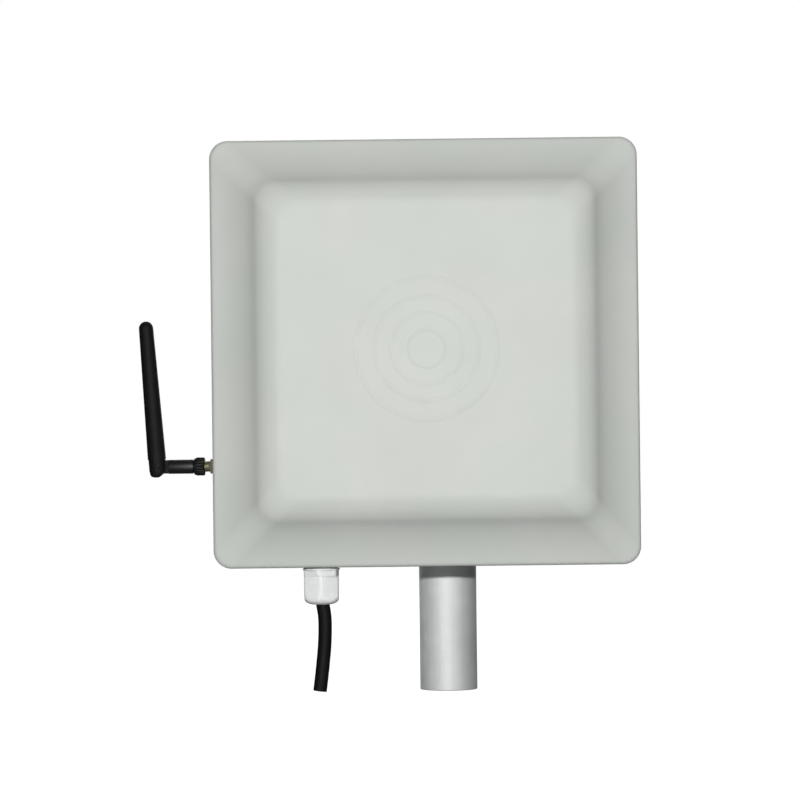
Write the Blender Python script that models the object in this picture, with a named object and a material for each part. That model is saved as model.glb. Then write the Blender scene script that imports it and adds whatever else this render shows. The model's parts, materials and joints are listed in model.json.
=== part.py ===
"""Pole-mounted UHF reader: square panel aerial, folding whip aerial, cable gland, tilt bracket and mast.

Metres, +Z up. The mast stands on the origin and its axis is the Z axis. The radome faces -Y, and +X is to
the right seen from the front. Pieces of the reader are drawn round the panel's centre line.
"""
from math import cos, pi, radians, sin

import bmesh
import bpy
from mathutils import Vector

MM = 0.001
GAP = 0.3 * MM  # clearance between neighbouring pieces

# Mast
MAST_RADIUS = 17.0 * MM
MAST_WALL = 2.0 * MM
MAST_TOP = 260 * MM
PLUG_RADIUS = MAST_RADIUS - MAST_WALL - GAP

# Reader: places of its centre line, its flat front and its back, and its outline
PANEL_X = -14.4 * MM
PANEL_Z = 192.8 * MM
FRONT_Y = -131 * MM
BACK_Y = -71 * MM
PANEL_HALF = 117.5 * MM
EDGE_CORNER = 10 * MM
FLAT_CORNER = 13 * MM
CREST_CORNER = 14.5 * MM

# Radome section: flat centre, tight knee, convex crown, concave flare, rounded edge, straight skirt
FLAT_HALF = 77.2 * MM
KNEE_HALF = 81.6 * MM
SHOULDER_HALF = 86 * MM
BROW_HALF = 90 * MM
CREST_HALF = 92.6 * MM
HOLLOW_HALF = 97.5 * MM
FLARE_HALF = 115.2 * MM
KNEE_SLOPE = radians(24)
SHOULDER_SLOPE = radians(32.5)
BROW_SLOPE = radians(44)
CREST_SLOPE = radians(54.5)
HOLLOW_SLOPE = radians(44)
EDGE_SLOPE = radians(24.5)
SHELL = 2.5 * MM
SKIRT_Y = -94 * MM
RIB_RADII = (38 * MM, 28 * MM, 19 * MM)
RIB_WIDTH = 2.4 * MM
RIB_HEIGHT = 0.5 * MM

# Tray behind the radome
TRAY_HALF = 116.3 * MM
TRAY_BACK_HALF = 113.3 * MM
RIM_HALF = 114.6 * MM
RIM_Y = -97 * MM
FLOOR_Y = -74 * MM
CAVITY_HALF = 111.8 * MM
BOSS_MEET_Y = -92 * MM
COVER_PITCH = 104 * MM

# Places inside the reader, measured from its centre line
BOARD_HALF = (52 * MM, 48 * MM)
BOARD_Y = -81.3 * MM
BOARD_THICK = 1.6 * MM
BOARD_HOLE = (46 * MM, 42 * MM)
PILLAR_PITCH = 66 * MM
REFLECTOR_Y = -94.5 * MM
REFLECTOR_THICK = 1.5 * MM
PATCH_Y = -106.5 * MM
PATCH_THICK = 1.0 * MM
PATCH_HALF = 73 * MM
BRACKET_PITCH = 37.5 * MM

# Whip aerial on the left side
WHIP_Y = -83 * MM
WHIP_DROP = -60.7 * MM
JACK_SEAT = -115.9 * MM
COLLAR_NEAR = -123.0 * MM
COLLAR_FAR = -129.0 * MM
ELBOW_REACH = -149.5 * MM
WHIP_LENGTH = 81.4 * MM
WHIP_TIP_RADIUS = 4.0 * MM
WHIP_BASE_RADIUS = 5.05 * MM
WHIP_LEAN = radians(4.1)
FORK_SLOT = 4.4 * MM
TONGUE = 3.6 * MM
PIN_RADIUS = 1.2 * MM
ARM_RADIUS = 3.95 * MM
TONGUE_RADIUS = 3.8 * MM
COLLAR_RADIUS = 5.1 * MM

# Gland and cable under the bottom edge
GLAND_X = -58.8 * MM
GLAND_Y = -84 * MM
GLAND_SEAT = -117.5 * MM
GLAND_FLATS = 18.3 * MM
GLAND_FLANGE = 10.3 * MM
GLAND_TURN = radians(21.4)
CAP_FLATS = 19.2 * MM
CAP_MOUTH = 5 * MM
CAP_TURN = radians(30)
CABLE_RADIUS = 3.8 * MM
CABLE_END = -186.6 * MM

# Tilt bracket
SHEET = 3.0 * MM
BEND_STEPS = 4
PIVOT_Y = -46 * MM
LOCK_DROP = 24 * MM
TILT_SPAN = radians(20)
CLAMP_FRONT_Y = -31 * MM
CLAMP_HALF_WIDTH = 33.7 * MM
CLAMP_HALF_HEIGHT = 48 * MM
BASE_HALF = 50 * MM
BASE_HALF_HEIGHT = 46 * MM
U_BOLT_RISE = 36 * MM
U_BOLT_RADIUS = 3 * MM
U_BOLT_BEND = MAST_RADIUS + GAP + U_BOLT_RADIUS


def clear_scene():
    for obj in list(bpy.data.objects):
        bpy.data.objects.remove(obj)


def make_material(name, colour, roughness, metallic=0.0):
    material = bpy.data.materials.new(name)
    material.use_nodes = True
    shader = material.node_tree.nodes["Principled BSDF"]
    shader.inputs["Base Color"].default_value = (*colour, 1.0)
    shader.inputs["Roughness"].default_value = roughness
    shader.inputs["Metallic"].default_value = metallic
    return material


# Outlines: lists of (u, v) pairs, counter-clockwise


def circle(radius, count, centre=(0, 0), start=0.0):
    angles = [start + 2 * pi * step / count for step in range(count)]
    return [(centre[0] + radius * cos(a), centre[1] + radius * sin(a)) for a in angles]


def hexagon(across_flats, per_side, turn=0.0):
    """A hexagon whose sides are divided, so that it can be joined to a circle of the same count."""
    corner_radius = across_flats / 2 / cos(pi / 6)
    points = [Vector((cos(turn + k * pi / 3), sin(turn + k * pi / 3))) * corner_radius for k in range(7)]
    outline = []
    for near, far in zip(points, points[1:]):
        outline += [tuple(near.lerp(far, step / per_side)) for step in range(per_side)]
    return outline


def rounded_rectangle(half_u, half_v, radius, steps):
    outline = []
    for index, (sign_u, sign_v) in enumerate(((1, 1), (-1, 1), (-1, -1), (1, -1))):
        centre = (sign_u * (half_u - radius), sign_v * (half_v - radius))
        for step in range(steps + 1):
            angle = (index + step / steps) * pi / 2
            outline.append((centre[0] + radius * cos(angle), centre[1] + radius * sin(angle)))
    return outline


def arc(centre, radius, first, last, steps):
    angles = [first + (last - first) * step / steps for step in range(steps + 1)]
    return [(centre[0] + radius * cos(a), centre[1] + radius * sin(a)) for a in angles]


def across_x(outline, x):
    return [Vector((x, u, v)) for u, v in outline]


def across_y(outline, y):
    return [Vector((u, y, v)) for u, v in outline]


def across_z(outline, z):
    return [Vector((u, v, z)) for u, v in outline]


# Solids


def new_object(name, bm, material, centre=(0, 0, 0), holder=None):
    """Turn a bmesh into an object at centre, a place in the whole model, held by an empty if one is given."""
    bmesh.ops.recalc_face_normals(bm, faces=bm.faces)
    mesh = bpy.data.meshes.new(name)
    bm.to_mesh(mesh)
    bm.free()
    mesh.materials.append(material)
    mesh.shade_smooth()
    mesh.set_sharp_from_angle(angle=radians(32))
    obj = bpy.data.objects.new(name, mesh)
    bpy.context.collection.objects.link(obj)
    return put(obj, centre, holder)


def put(obj, centre, holder=None):
    obj.location = centre
    if holder:
        obj.parent = holder
        obj.location = Vector(centre) - world_place(holder)
    return obj


def world_place(holder):
    place = holder.location.copy()
    if holder.parent:
        place += world_place(holder.parent)
    return place


def axis_empty(name, centre, holder=None):
    empty = bpy.data.objects.new(name, None)
    bpy.context.collection.objects.link(empty)
    return put(empty, centre, holder)


def skin(loops, ring=False):
    """Join loops of equal length with faces; the ends are capped, or joined to each other on a ring."""
    bm = bmesh.new()
    rows = [[bm.verts.new(point) for point in loop] for loop in loops]
    pairs = list(zip(rows, rows[1:]))
    if ring:
        pairs.append((rows[-1], rows[0]))
    else:
        bm.faces.new(rows[0])
        bm.faces.new(rows[-1])
    count = len(rows[0])
    for near, far in pairs:
        for step in range(count):
            after = (step + 1) % count
            bm.faces.new((near[step], near[after], far[after], far[step]))
    return bm


def spin_profile(profile, count):
    """A solid turned about Z from (radius, height) points that start and end on the axis."""
    bm = bmesh.new()
    verts = [bm.verts.new((radius, 0, height)) for radius, height in profile]
    edges = [bm.edges.new(pair) for pair in zip(verts, verts[1:])]
    bmesh.ops.spin(
        bm, geom=verts + edges, cent=(0, 0, 0), axis=(0, 0, 1), angle=2 * pi, steps=count, use_merge=True
    )
    bmesh.ops.remove_doubles(bm, verts=bm.verts, dist=0.001 * MM)
    return bm


def spin_ring(profile, count):
    """A ring turned about Z from a closed outline of (radius, height) points."""
    angles = [2 * pi * step / count for step in range(count)]
    loops = [[Vector((r * cos(a), r * sin(a), h)) for r, h in profile] for a in angles]
    return skin(loops, ring=True)


def plate(outline, place, near, far):
    """A flat plate: an outline extruded between two levels; place is across_x, across_y or across_z."""
    bm = bmesh.new()
    face = bm.faces.new([bm.verts.new(point) for point in place(outline, near)])
    grown = bmesh.ops.extrude_face_region(bm, geom=[face])
    moved = [item for item in grown["geom"] if isinstance(item, bmesh.types.BMVert)]
    shift = place([(0, 0)], far)[0] - place([(0, 0)], near)[0]
    bmesh.ops.translate(bm, verts=moved, vec=shift)
    return bm


def block(low, high):
    bm = bmesh.new()
    bmesh.ops.create_cube(bm, size=1.0)
    low, high = Vector(low), Vector(high)
    bmesh.ops.scale(bm, vec=high - low, verts=bm.verts)
    bmesh.ops.translate(bm, vec=(low + high) / 2, verts=bm.verts)
    return bm


def rods(centres, radius, near, far, place=across_y, count=12):
    """Several parallel rods in one mesh, used as one Boolean operand."""
    bm = bmesh.new()
    for centre in centres:
        rod = plate(circle(radius, count, centre), place, near, far)
        mesh = bpy.data.meshes.new("rod")
        rod.to_mesh(mesh)
        rod.free()
        bm.from_mesh(mesh)
        bpy.data.meshes.remove(mesh)
    return bm


def combine(target, name, bm, operation="DIFFERENCE"):
    """Apply a Boolean whose operand sits at the target's own place."""
    operand = new_object(name, bm, target.data.materials[0])
    operand.parent = target.parent
    operand.location = target.location
    operand.hide_render = True
    operand.display_type = "WIRE"
    modifier = target.modifiers.new(name, "BOOLEAN")
    modifier.operation = operation
    modifier.solver = "EXACT"
    modifier.object = operand
    return operand


def wire(name, points, radius, material, holder, sides=2):
    """A round rod or cable along world points."""
    curve = bpy.data.curves.new(name, "CURVE")
    curve.dimensions = "3D"
    curve.bevel_depth = radius
    curve.bevel_resolution = sides
    curve.use_fill_caps = True
    curve.render_resolution_u = 0
    spline = curve.splines.new("POLY")
    spline.points.add(len(points) - 1)
    start = Vector(points[0])
    for spline_point, point in zip(spline.points, points):
        spline_point.co = (*(Vector(point) - start), 1.0)
    spline.use_smooth = True
    curve.materials.append(material)
    obj = bpy.data.objects.new(name, curve)
    bpy.context.collection.objects.link(obj)
    return put(obj, start, holder)


def eased_path(points, steps):
    """Points along a smooth curve through the given ones."""
    spans = [Vector(points[0])] + [Vector(p) for p in points] + [Vector(points[-1])]
    path = [spans[1]]
    for a, b, c, d in zip(spans, spans[1:], spans[2:], spans[3:]):
        for step in range(1, steps + 1):
            t = step / steps
            path.append(0.5 * (2 * b + (c - a) * t + (2 * a - 5 * b + 4 * c - d) * t**2
                               + (3 * b - a - 3 * c + d) * t**3))
    return path


def hex_bolt(name, material, centre, holder, flats, head, radius, length):
    """A bolt along X: its head's inner face at centre, its shank towards -X."""
    loops = [
        across_x(hexagon(flats, 3), head),
        across_x(hexagon(flats, 3), 0),
        across_x(circle(radius, 18), 0),
        across_x(circle(radius, 18), -length),
    ]
    return new_object(name, skin(loops), material, centre, holder)


def hex_nut(name, material, centre, holder, flats, bore, thick, place, turn=0.0):
    """A nut that starts at centre and runs for thick along the place function's axis."""
    outer, inner = hexagon(flats, 3, turn), circle(bore, 18, start=turn)
    loops = [place(outer, 0), place(outer, thick), place(inner, thick), place(inner, 0)]
    return new_object(name, skin(loops, ring=True), material, centre, holder)


def pan_screw(name, material, centre, holder, radius, length, head_radius, head, count=16):
    """A round-headed screw along Y: the head's inner face at centre, the shank towards -Y."""
    loops = [
        across_y(circle(head_radius * 0.6, count), head),
        across_y(circle(head_radius * 0.94, count), head * 0.6),
        across_y(circle(head_radius, count), 0),
        across_y(circle(radius, count), 0),
        across_y(circle(radius, count), -length),
    ]
    return new_object(name, skin(loops), material, centre, holder)


# Mast


def mast(metal, plastic):
    inner = MAST_RADIUS - MAST_WALL
    tube = [(MAST_RADIUS, 0), (MAST_RADIUS, MAST_TOP), (inner, MAST_TOP), (inner, 0)]
    new_object("mast_tube", spin_ring(tube, 36), metal)
    plug = [(0, 0), (PLUG_RADIUS, 0), (PLUG_RADIUS, 14 * MM), (PLUG_RADIUS - 2 * MM, 14 * MM)]
    plug += [(PLUG_RADIUS - 2 * MM, 4 * MM), (0, 4 * MM)]
    new_object("foot_plug", spin_profile(plug, 24), plastic)
    cap = [(0, -2 * MM), (PLUG_RADIUS - 2 * MM, -2 * MM), (PLUG_RADIUS - 2 * MM, -12 * MM)]
    cap += [(PLUG_RADIUS, -12 * MM), (PLUG_RADIUS, GAP), (MAST_RADIUS, GAP), (MAST_RADIUS, 1.6 * MM)]
    cap += [(MAST_RADIUS - 1.2 * MM, 2.8 * MM), (0, 3.4 * MM)]
    new_object("mast_cap", spin_profile(cap, 20), plastic, (0, 0, MAST_TOP))


# Reader housing


def radome_section(offset):
    """(half width, depth behind the flat front, slope) along the radome, moved inwards by offset."""
    halves = (FLAT_HALF, KNEE_HALF, SHOULDER_HALF, BROW_HALF, CREST_HALF, HOLLOW_HALF, FLARE_HALF, PANEL_HALF)
    slopes = (0, KNEE_SLOPE, SHOULDER_SLOPE, BROW_SLOPE, CREST_SLOPE, HOLLOW_SLOPE, EDGE_SLOPE, pi / 2)
    depth = 0
    section = [(FLAT_HALF, 0, 0)]
    for near, far, first, last, steps in zip(halves, halves[1:], slopes, slopes[1:], (2, 1, 1, 1, 1, 4, 2)):
        radius = (far - near) / (sin(last) - sin(first))
        for step in range(1, steps + 1):
            slope = first + (last - first) * step / steps
            half = near + radius * (sin(slope) - sin(first))
            section.append((half, depth + radius * (cos(first) - cos(slope)), slope))
        depth = section[-1][1]
    return [(half - offset * sin(slope), depth + offset * cos(slope)) for half, depth, slope in section]


def square_loop(half, y, steps=6):
    """A rounded square round the panel's centre; its corner radius is largest at the crest."""
    if half > CREST_HALF:
        share = min(1.0, (half - CREST_HALF) / (PANEL_HALF - CREST_HALF))
        corner = CREST_CORNER + (EDGE_CORNER - CREST_CORNER) * share
    else:
        share = max(0.0, (half - FLAT_HALF) / (CREST_HALF - FLAT_HALF))
        corner = FLAT_CORNER + (CREST_CORNER - FLAT_CORNER) * share
    return across_y(rounded_rectangle(half, half, corner, steps), y)


def rib_loops(count):
    """Loops of the raised rings on the flat front, from the middle outwards."""
    loops = []
    start = pi / count
    for radius in sorted(RIB_RADII):
        for reach, height in ((-1, 0), (-0.5, 1), (0.5, 1), (1, 0)):
            ring = circle(radius + reach * RIB_WIDTH / 2, count, start=start)
            loops.append(across_y(ring, FRONT_Y - height * RIB_HEIGHT))
    return loops


def cover_bosses():
    """Centres of the eight cover screws: the corners and the middles of the sides."""
    pitches = (-COVER_PITCH, 0, COVER_PITCH)
    return [(u, v) for u in pitches for v in pitches if (u, v) != (0, 0)]


def radome(plastic, centre, holder):
    outer = [square_loop(half, FRONT_Y + depth) for half, depth in radome_section(0)]
    inner = [square_loop(half, FRONT_Y + depth) for half, depth in reversed(radome_section(SHELL))]
    skirt = [square_loop(PANEL_HALF, SKIRT_Y), square_loop(PANEL_HALF - SHELL, SKIRT_Y)]
    shell = new_object("radome", skin(rib_loops(28) + outer + skirt + inner), plastic, centre, holder)
    bosses = combine(shell, "radome_bosses", rods(cover_bosses(), 4 * MM, FRONT_Y, BOSS_MEET_Y - GAP), "UNION")
    middle = [square_loop(half, FRONT_Y + depth) for half, depth in radome_section(SHELL / 2)]
    middle.append(square_loop(PANEL_HALF - SHELL / 2, BACK_Y))
    combine(bosses, "radome_boss_limit", skin(middle), "INTERSECT")
    combine(shell, "radome_pilot_holes", rods(cover_bosses(), 1.8 * MM, -104 * MM, BACK_Y))


def rear_tray(metal, centre, holder):
    shoulder = SKIRT_Y + GAP
    loops = [
        square_loop(TRAY_BACK_HALF - 1.8 * MM, BACK_Y, 5),
        square_loop(TRAY_BACK_HALF, BACK_Y - 1.2 * MM, 5),
        square_loop(TRAY_HALF, shoulder, 5),
        square_loop(RIM_HALF, shoulder, 5),
        square_loop(RIM_HALF, RIM_Y, 5),
        square_loop(CAVITY_HALF + 0.5 * MM, RIM_Y, 5),
        square_loop(CAVITY_HALF - 0.3 * MM, FLOOR_Y, 5),
    ]
    tray = new_object("rear_tray", skin(loops), metal, centre, holder)
    root = FLOOR_Y + 1 * MM
    combine(tray, "tray_cover_bosses", rods(cover_bosses(), 4.5 * MM, root, BOSS_MEET_Y), "UNION")
    combine(tray, "tray_pillars", rods(corners(PILLAR_PITCH), 5 * MM, root, REFLECTOR_Y + GAP), "UNION")
    combine(tray, "tray_bracket_bosses", rods(corners(BRACKET_PITCH), 5.5 * MM, root, -79 * MM), "UNION")
    combine(tray, "tray_board_bosses", rods(corners(*BOARD_HOLE), 3.5 * MM, root, BOARD_Y + GAP), "UNION")
    jack_seat = rods([(WHIP_Y, WHIP_DROP)], 6.5 * MM, JACK_SEAT, -112.5 * MM, across_x, 16)
    combine(tray, "tray_jack_seat", jack_seat, "UNION")
    gland_seat = rods([(GLAND_X, GLAND_Y)], 9.4 * MM, GLAND_SEAT, -112.5 * MM, across_z, 20)
    combine(tray, "tray_gland_seat", gland_seat, "UNION")
    combine(tray, "tray_cover_holes", rods(cover_bosses(), 1.9 * MM, -100 * MM, -60 * MM))
    combine(tray, "tray_head_recess", rods(cover_bosses(), 3.9 * MM, -73.6 * MM, -60 * MM))
    combine(tray, "tray_bracket_holes", rods(corners(BRACKET_PITCH), 2.8 * MM, -78 * MM, -60 * MM))
    combine(tray, "tray_pillar_holes", rods(corners(PILLAR_PITCH), 2.3 * MM, -100 * MM, -84 * MM))
    combine(tray, "tray_board_holes", rods(corners(*BOARD_HOLE), 1.5 * MM, -90 * MM, -76 * MM))
    combine(tray, "tray_jack_hole", rods([(WHIP_Y, WHIP_DROP)], 3.5 * MM, -130 * MM, -100 * MM, across_x))
    combine(tray, "tray_gland_hole", rods([(GLAND_X, GLAND_Y)], 7.9 * MM, -130 * MM, -100 * MM, across_z, 20))


def corners(half_u, half_v=None):
    half_v = half_v or half_u
    return [(u, v) for u in (-half_u, half_u) for v in (-half_v, half_v)]


def gasket(rubber, centre, holder):
    near, far = RIM_Y - GAP, RIM_Y - 1.8 * MM
    outer, inner = RIM_HALF - 0.5 * MM, CAVITY_HALF + 0.7 * MM
    loops = [square_loop(outer, near, 4), square_loop(outer, far, 4), square_loop(inner, far, 4)]
    loops.append(square_loop(inner, near, 4))
    new_object("gasket", skin(loops, ring=True), rubber, centre, holder)


def cover_screws(steel, centre, holder):
    for number, (u, v) in enumerate(cover_bosses(), 1):
        place = centre + Vector((u, -73.6 * MM + GAP, v))
        pan_screw(f"cover_screw_{number}", steel, place, holder, 1.5 * MM, 26 * MM, 3.5 * MM, 2.2 * MM, 12)


# Inside the reader


def aerial_stack(metal, nylon, brass, centre, holder):
    reflector_near = REFLECTOR_Y - REFLECTOR_THICK
    sheet = new_object(
        "reflector_plate",
        plate(rounded_rectangle(97 * MM, 97 * MM, 6 * MM, 3), across_y, reflector_near, REFLECTOR_Y),
        metal, centre, holder,
    )
    combine(sheet, "reflector_holes", rods(corners(PILLAR_PITCH), 2.3 * MM, -110 * MM, -80 * MM))
    feed_at = (0, -35 * MM)
    combine(sheet, "reflector_feed_hole", rods([feed_at], 3.5 * MM, -110 * MM, -80 * MM))

    trim = 16 * MM
    outline = [(-PATCH_HALF + trim, -PATCH_HALF), (PATCH_HALF, -PATCH_HALF), (PATCH_HALF, PATCH_HALF - trim)]
    outline += [(PATCH_HALF - trim, PATCH_HALF), (-PATCH_HALF, PATCH_HALF), (-PATCH_HALF, -PATCH_HALF + trim)]
    patch_back = PATCH_Y + PATCH_THICK
    patch = new_object("patch_radiator", plate(outline, across_y, PATCH_Y, patch_back), brass, centre, holder)
    combine(patch, "patch_holes", rods(corners(PILLAR_PITCH - 1 * MM), 3.4 * MM, -120 * MM, -100 * MM))

    post = circle(4 * MM, 16)
    new_object("centre_post", plate(post, across_y, patch_back + GAP, reflector_near - GAP), metal, centre, holder)
    for number, (u, v) in enumerate(corners(PILLAR_PITCH), 1):
        loops = [
            across_y(circle(2 * MM, 12), -86 * MM),
            across_y(circle(2 * MM, 12), reflector_near - GAP),
            across_y(circle(4 * MM, 12), reflector_near - GAP),
            across_y(circle(4 * MM, 12), patch_back + GAP),
            across_y(circle(1.8 * MM, 12), patch_back + GAP),
            across_y(circle(1.8 * MM, 12), PATCH_Y - 1.2 * MM),
        ]
        place = centre + Vector((u, 0, v))
        new_object(f"patch_spacer_{number}", skin(loops), nylon, place, holder)
    pin = plate(circle(1 * MM, 10), across_y, patch_back + GAP, -90 * MM)
    new_object("feed_pin", pin, brass, centre + Vector((feed_at[0], 0, feed_at[1])), holder)


def electronics(mats, centre, holder):
    face = BOARD_Y - BOARD_THICK
    board = new_object(
        "reader_board",
        plate(rounded_rectangle(*BOARD_HALF, 3 * MM, 2), across_y, face, BOARD_Y),
        mats["board"], centre, holder,
    )
    combine(board, "board_holes", rods(corners(*BOARD_HOLE), 1.7 * MM, -90 * MM, -70 * MM))
    top = face - GAP

    def part(name, low, high, material):
        bm = block((low[0] * MM, top - high[2] * MM, low[1] * MM), (high[0] * MM, top, high[1] * MM))
        bevelled(new_object(name, bm, material, centre, holder), 0.4 * MM)

    part("shield_can", (-4, -14), (40, 32, 5), mats["zinc"])
    part("terminal_block", (-46, -34), (-20, -25, 8.2), mats["green"])
    part("radio_module", (-44, 6), (-18, 24, 2.6), mats["zinc"])
    buzzer = [(0, 0), (6 * MM, 0), (6 * MM, 6.2 * MM), (1.2 * MM, 6.2 * MM), (1.2 * MM, 4.5 * MM), (0, 4.5 * MM)]
    sounder = new_object("buzzer", spin_profile(buzzer, 14), mats["black"], centre, holder)
    sounder.location += Vector((20 * MM, top, -32 * MM))
    sounder.rotation_euler = (pi / 2, 0, 0)

    for number, (u, v) in enumerate((corners(*BOARD_HOLE)[0], corners(*BOARD_HOLE)[3]), 1):
        place = centre + Vector((u, face - GAP, v))
        screw = pan_screw(f"board_screw_{number}", mats["steel"], place, holder, 1.2 * MM, 5.5 * MM, 2.6 * MM,
                          1.8 * MM, 12)
        screw.rotation_euler = (0, 0, pi)

    start = (-104.6 * MM, WHIP_Y, WHIP_DROP)
    pigtail = [start, (-92 * MM, WHIP_Y, WHIP_DROP), (-74 * MM, -88 * MM, -44 * MM)]
    pigtail += [(-60 * MM, -90 * MM, -10 * MM), (-44.8 * MM, -84.6 * MM, 14 * MM)]
    wire("pigtail", [centre + Vector(p) for p in eased_path(pigtail, 5)], 0.9 * MM, mats["black"], holder, 1)
    jumper = [(-5 * MM, -86 * MM, 0), (-14 * MM, -88.5 * MM, -12 * MM), (-10 * MM, -88.6 * MM, -30 * MM)]
    jumper.append((-1.6 * MM, -88.6 * MM, -35 * MM))
    wire("rf_jumper", [centre + Vector(p) for p in eased_path(jumper, 4)], 0.9 * MM, mats["black"], holder, 1)


def bevelled(obj, width):
    modifier = obj.modifiers.new("bevel", "BEVEL")
    modifier.width = width
    modifier.segments = 1
    modifier.limit_method = "ANGLE"


# Whip aerial


def whip_aerial(mats, centre, reader, collar_axis, swivel_axis, fold_axis):
    """Jack, nut, collar, elbow arm, pin and whip. Turned pieces are drawn along Z and laid along -X."""
    along = (0, -pi / 2, 0)
    jack = [(0, -9 * MM), (1.6 * MM, -9 * MM), (1.6 * MM, -4 * MM), (4.6 * MM, -4 * MM), (4.6 * MM, -2.2 * MM)]
    jack += [(3.17 * MM, -2.2 * MM), (3.17 * MM, 10.3 * MM), (2.1 * MM, 10.3 * MM), (2.1 * MM, 4 * MM)]
    jack += [(0.6 * MM, 4 * MM), (0.6 * MM, 8 * MM), (0, 8 * MM)]
    base = centre + Vector((-113.7 * MM, WHIP_Y, WHIP_DROP))
    laid(new_object("sma_jack", spin_profile(jack, 14), mats["gold"], base, reader), along)
    nut_at = centre + Vector((JACK_SEAT - GAP, WHIP_Y, WHIP_DROP))
    hex_nut("sma_nut", mats["gold"], nut_at, reader, 8 * MM, 3.17 * MM + GAP, -3.8 * MM, across_x)

    length = COLLAR_NEAR - COLLAR_FAR
    bore = 3.17 * MM + GAP
    outer = COLLAR_RADIUS
    collar = [(bore, 0), (outer - 0.3 * MM, 0), (outer, 0.4 * MM), (outer, length - 1.6 * MM)]
    collar += [(outer - 0.9 * MM, length), (2.6 * MM, length), (2.6 * MM, length - 1.4 * MM)]
    collar += [(bore, length - 1.4 * MM)]
    collar_at = centre + Vector((COLLAR_NEAR, WHIP_Y, WHIP_DROP))
    laid(new_object("whip_collar", spin_ring(collar, 16), mats["black"], collar_at, collar_axis), along)

    elbow = centre + Vector((ELBOW_REACH, WHIP_Y, WHIP_DROP))
    tongue_half = TONGUE / 2
    reach = COLLAR_FAR - ELBOW_REACH - GAP
    loops = [
        across_x(circle(2.9 * MM, 16), reach + 4.0 * MM),
        across_x(circle(2.9 * MM, 16), reach + 2.0 * MM),
        across_x(circle(2.2 * MM, 16), reach + 2.0 * MM),
        across_x(circle(2.2 * MM, 16), reach),
        across_x(circle(ARM_RADIUS, 16), reach),
        across_x(circle(ARM_RADIUS, 16), 6.8 * MM),
        across_x([(max(-tongue_half, min(tongue_half, u)), v) for u, v in circle(TONGUE_RADIUS, 16)], 5.6 * MM),
    ]
    arm = new_object("whip_arm", skin(loops), mats["black"], elbow, swivel_axis)
    tongue = arc((0, 0), TONGUE_RADIUS, pi / 2, 3 * pi / 2, 8)
    tongue += [(6.4 * MM, -TONGUE_RADIUS), (6.4 * MM, TONGUE_RADIUS)]
    combine(arm, "arm_tongue", plate(tongue, across_y, -tongue_half, tongue_half), "UNION")
    combine(arm, "arm_pin_hole", rods([(0, 0)], PIN_RADIUS + GAP, -9 * MM, 9 * MM))
    pin = plate(circle(PIN_RADIUS, 12), across_y, -4.6 * MM, 4.6 * MM)
    new_object("elbow_pin", pin, mats["black"], elbow, swivel_axis)

    profile = [(0, -6.0 * MM), (3.6 * MM, -5.6 * MM), (4.6 * MM, -4.6 * MM)]
    profile += [(WHIP_BASE_RADIUS, -1 * MM), (WHIP_BASE_RADIUS, 6 * MM)]
    tip = WHIP_LENGTH - WHIP_TIP_RADIUS
    profile += [(r, tip + h) for r, h in arc((0, 0), WHIP_TIP_RADIUS, 0, pi / 2, 4)]
    profile[-1] = (0, WHIP_LENGTH)
    rod = new_object("whip", spin_profile(profile, 18), mats["black"], elbow, fold_axis)
    slot_half = FORK_SLOT / 2
    slot = block((-9 * MM, -slot_half, -9 * MM), (9 * MM, slot_half, 4.2 * MM))
    rod.rotation_euler = (0, -WHIP_LEAN, 0)
    combine(rod, "fork_slot", slot).rotation_euler = rod.rotation_euler
    facing = [(-0.4 * MM, -6.2 * MM), (0.3 * MM, -9 * MM), (9 * MM, -9 * MM), (9 * MM, 0.6 * MM)]
    heel = plate(facing, across_y, -9 * MM, 9 * MM)
    combine(rod, "fork_heel", heel).rotation_euler = rod.rotation_euler
    holes = combine(rod, "fork_pin_hole", rods([(0, 0)], PIN_RADIUS + GAP, -9 * MM, 9 * MM))
    holes.rotation_euler = rod.rotation_euler


def laid(obj, angles):
    obj.rotation_euler = angles


# Gland and cable


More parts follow.
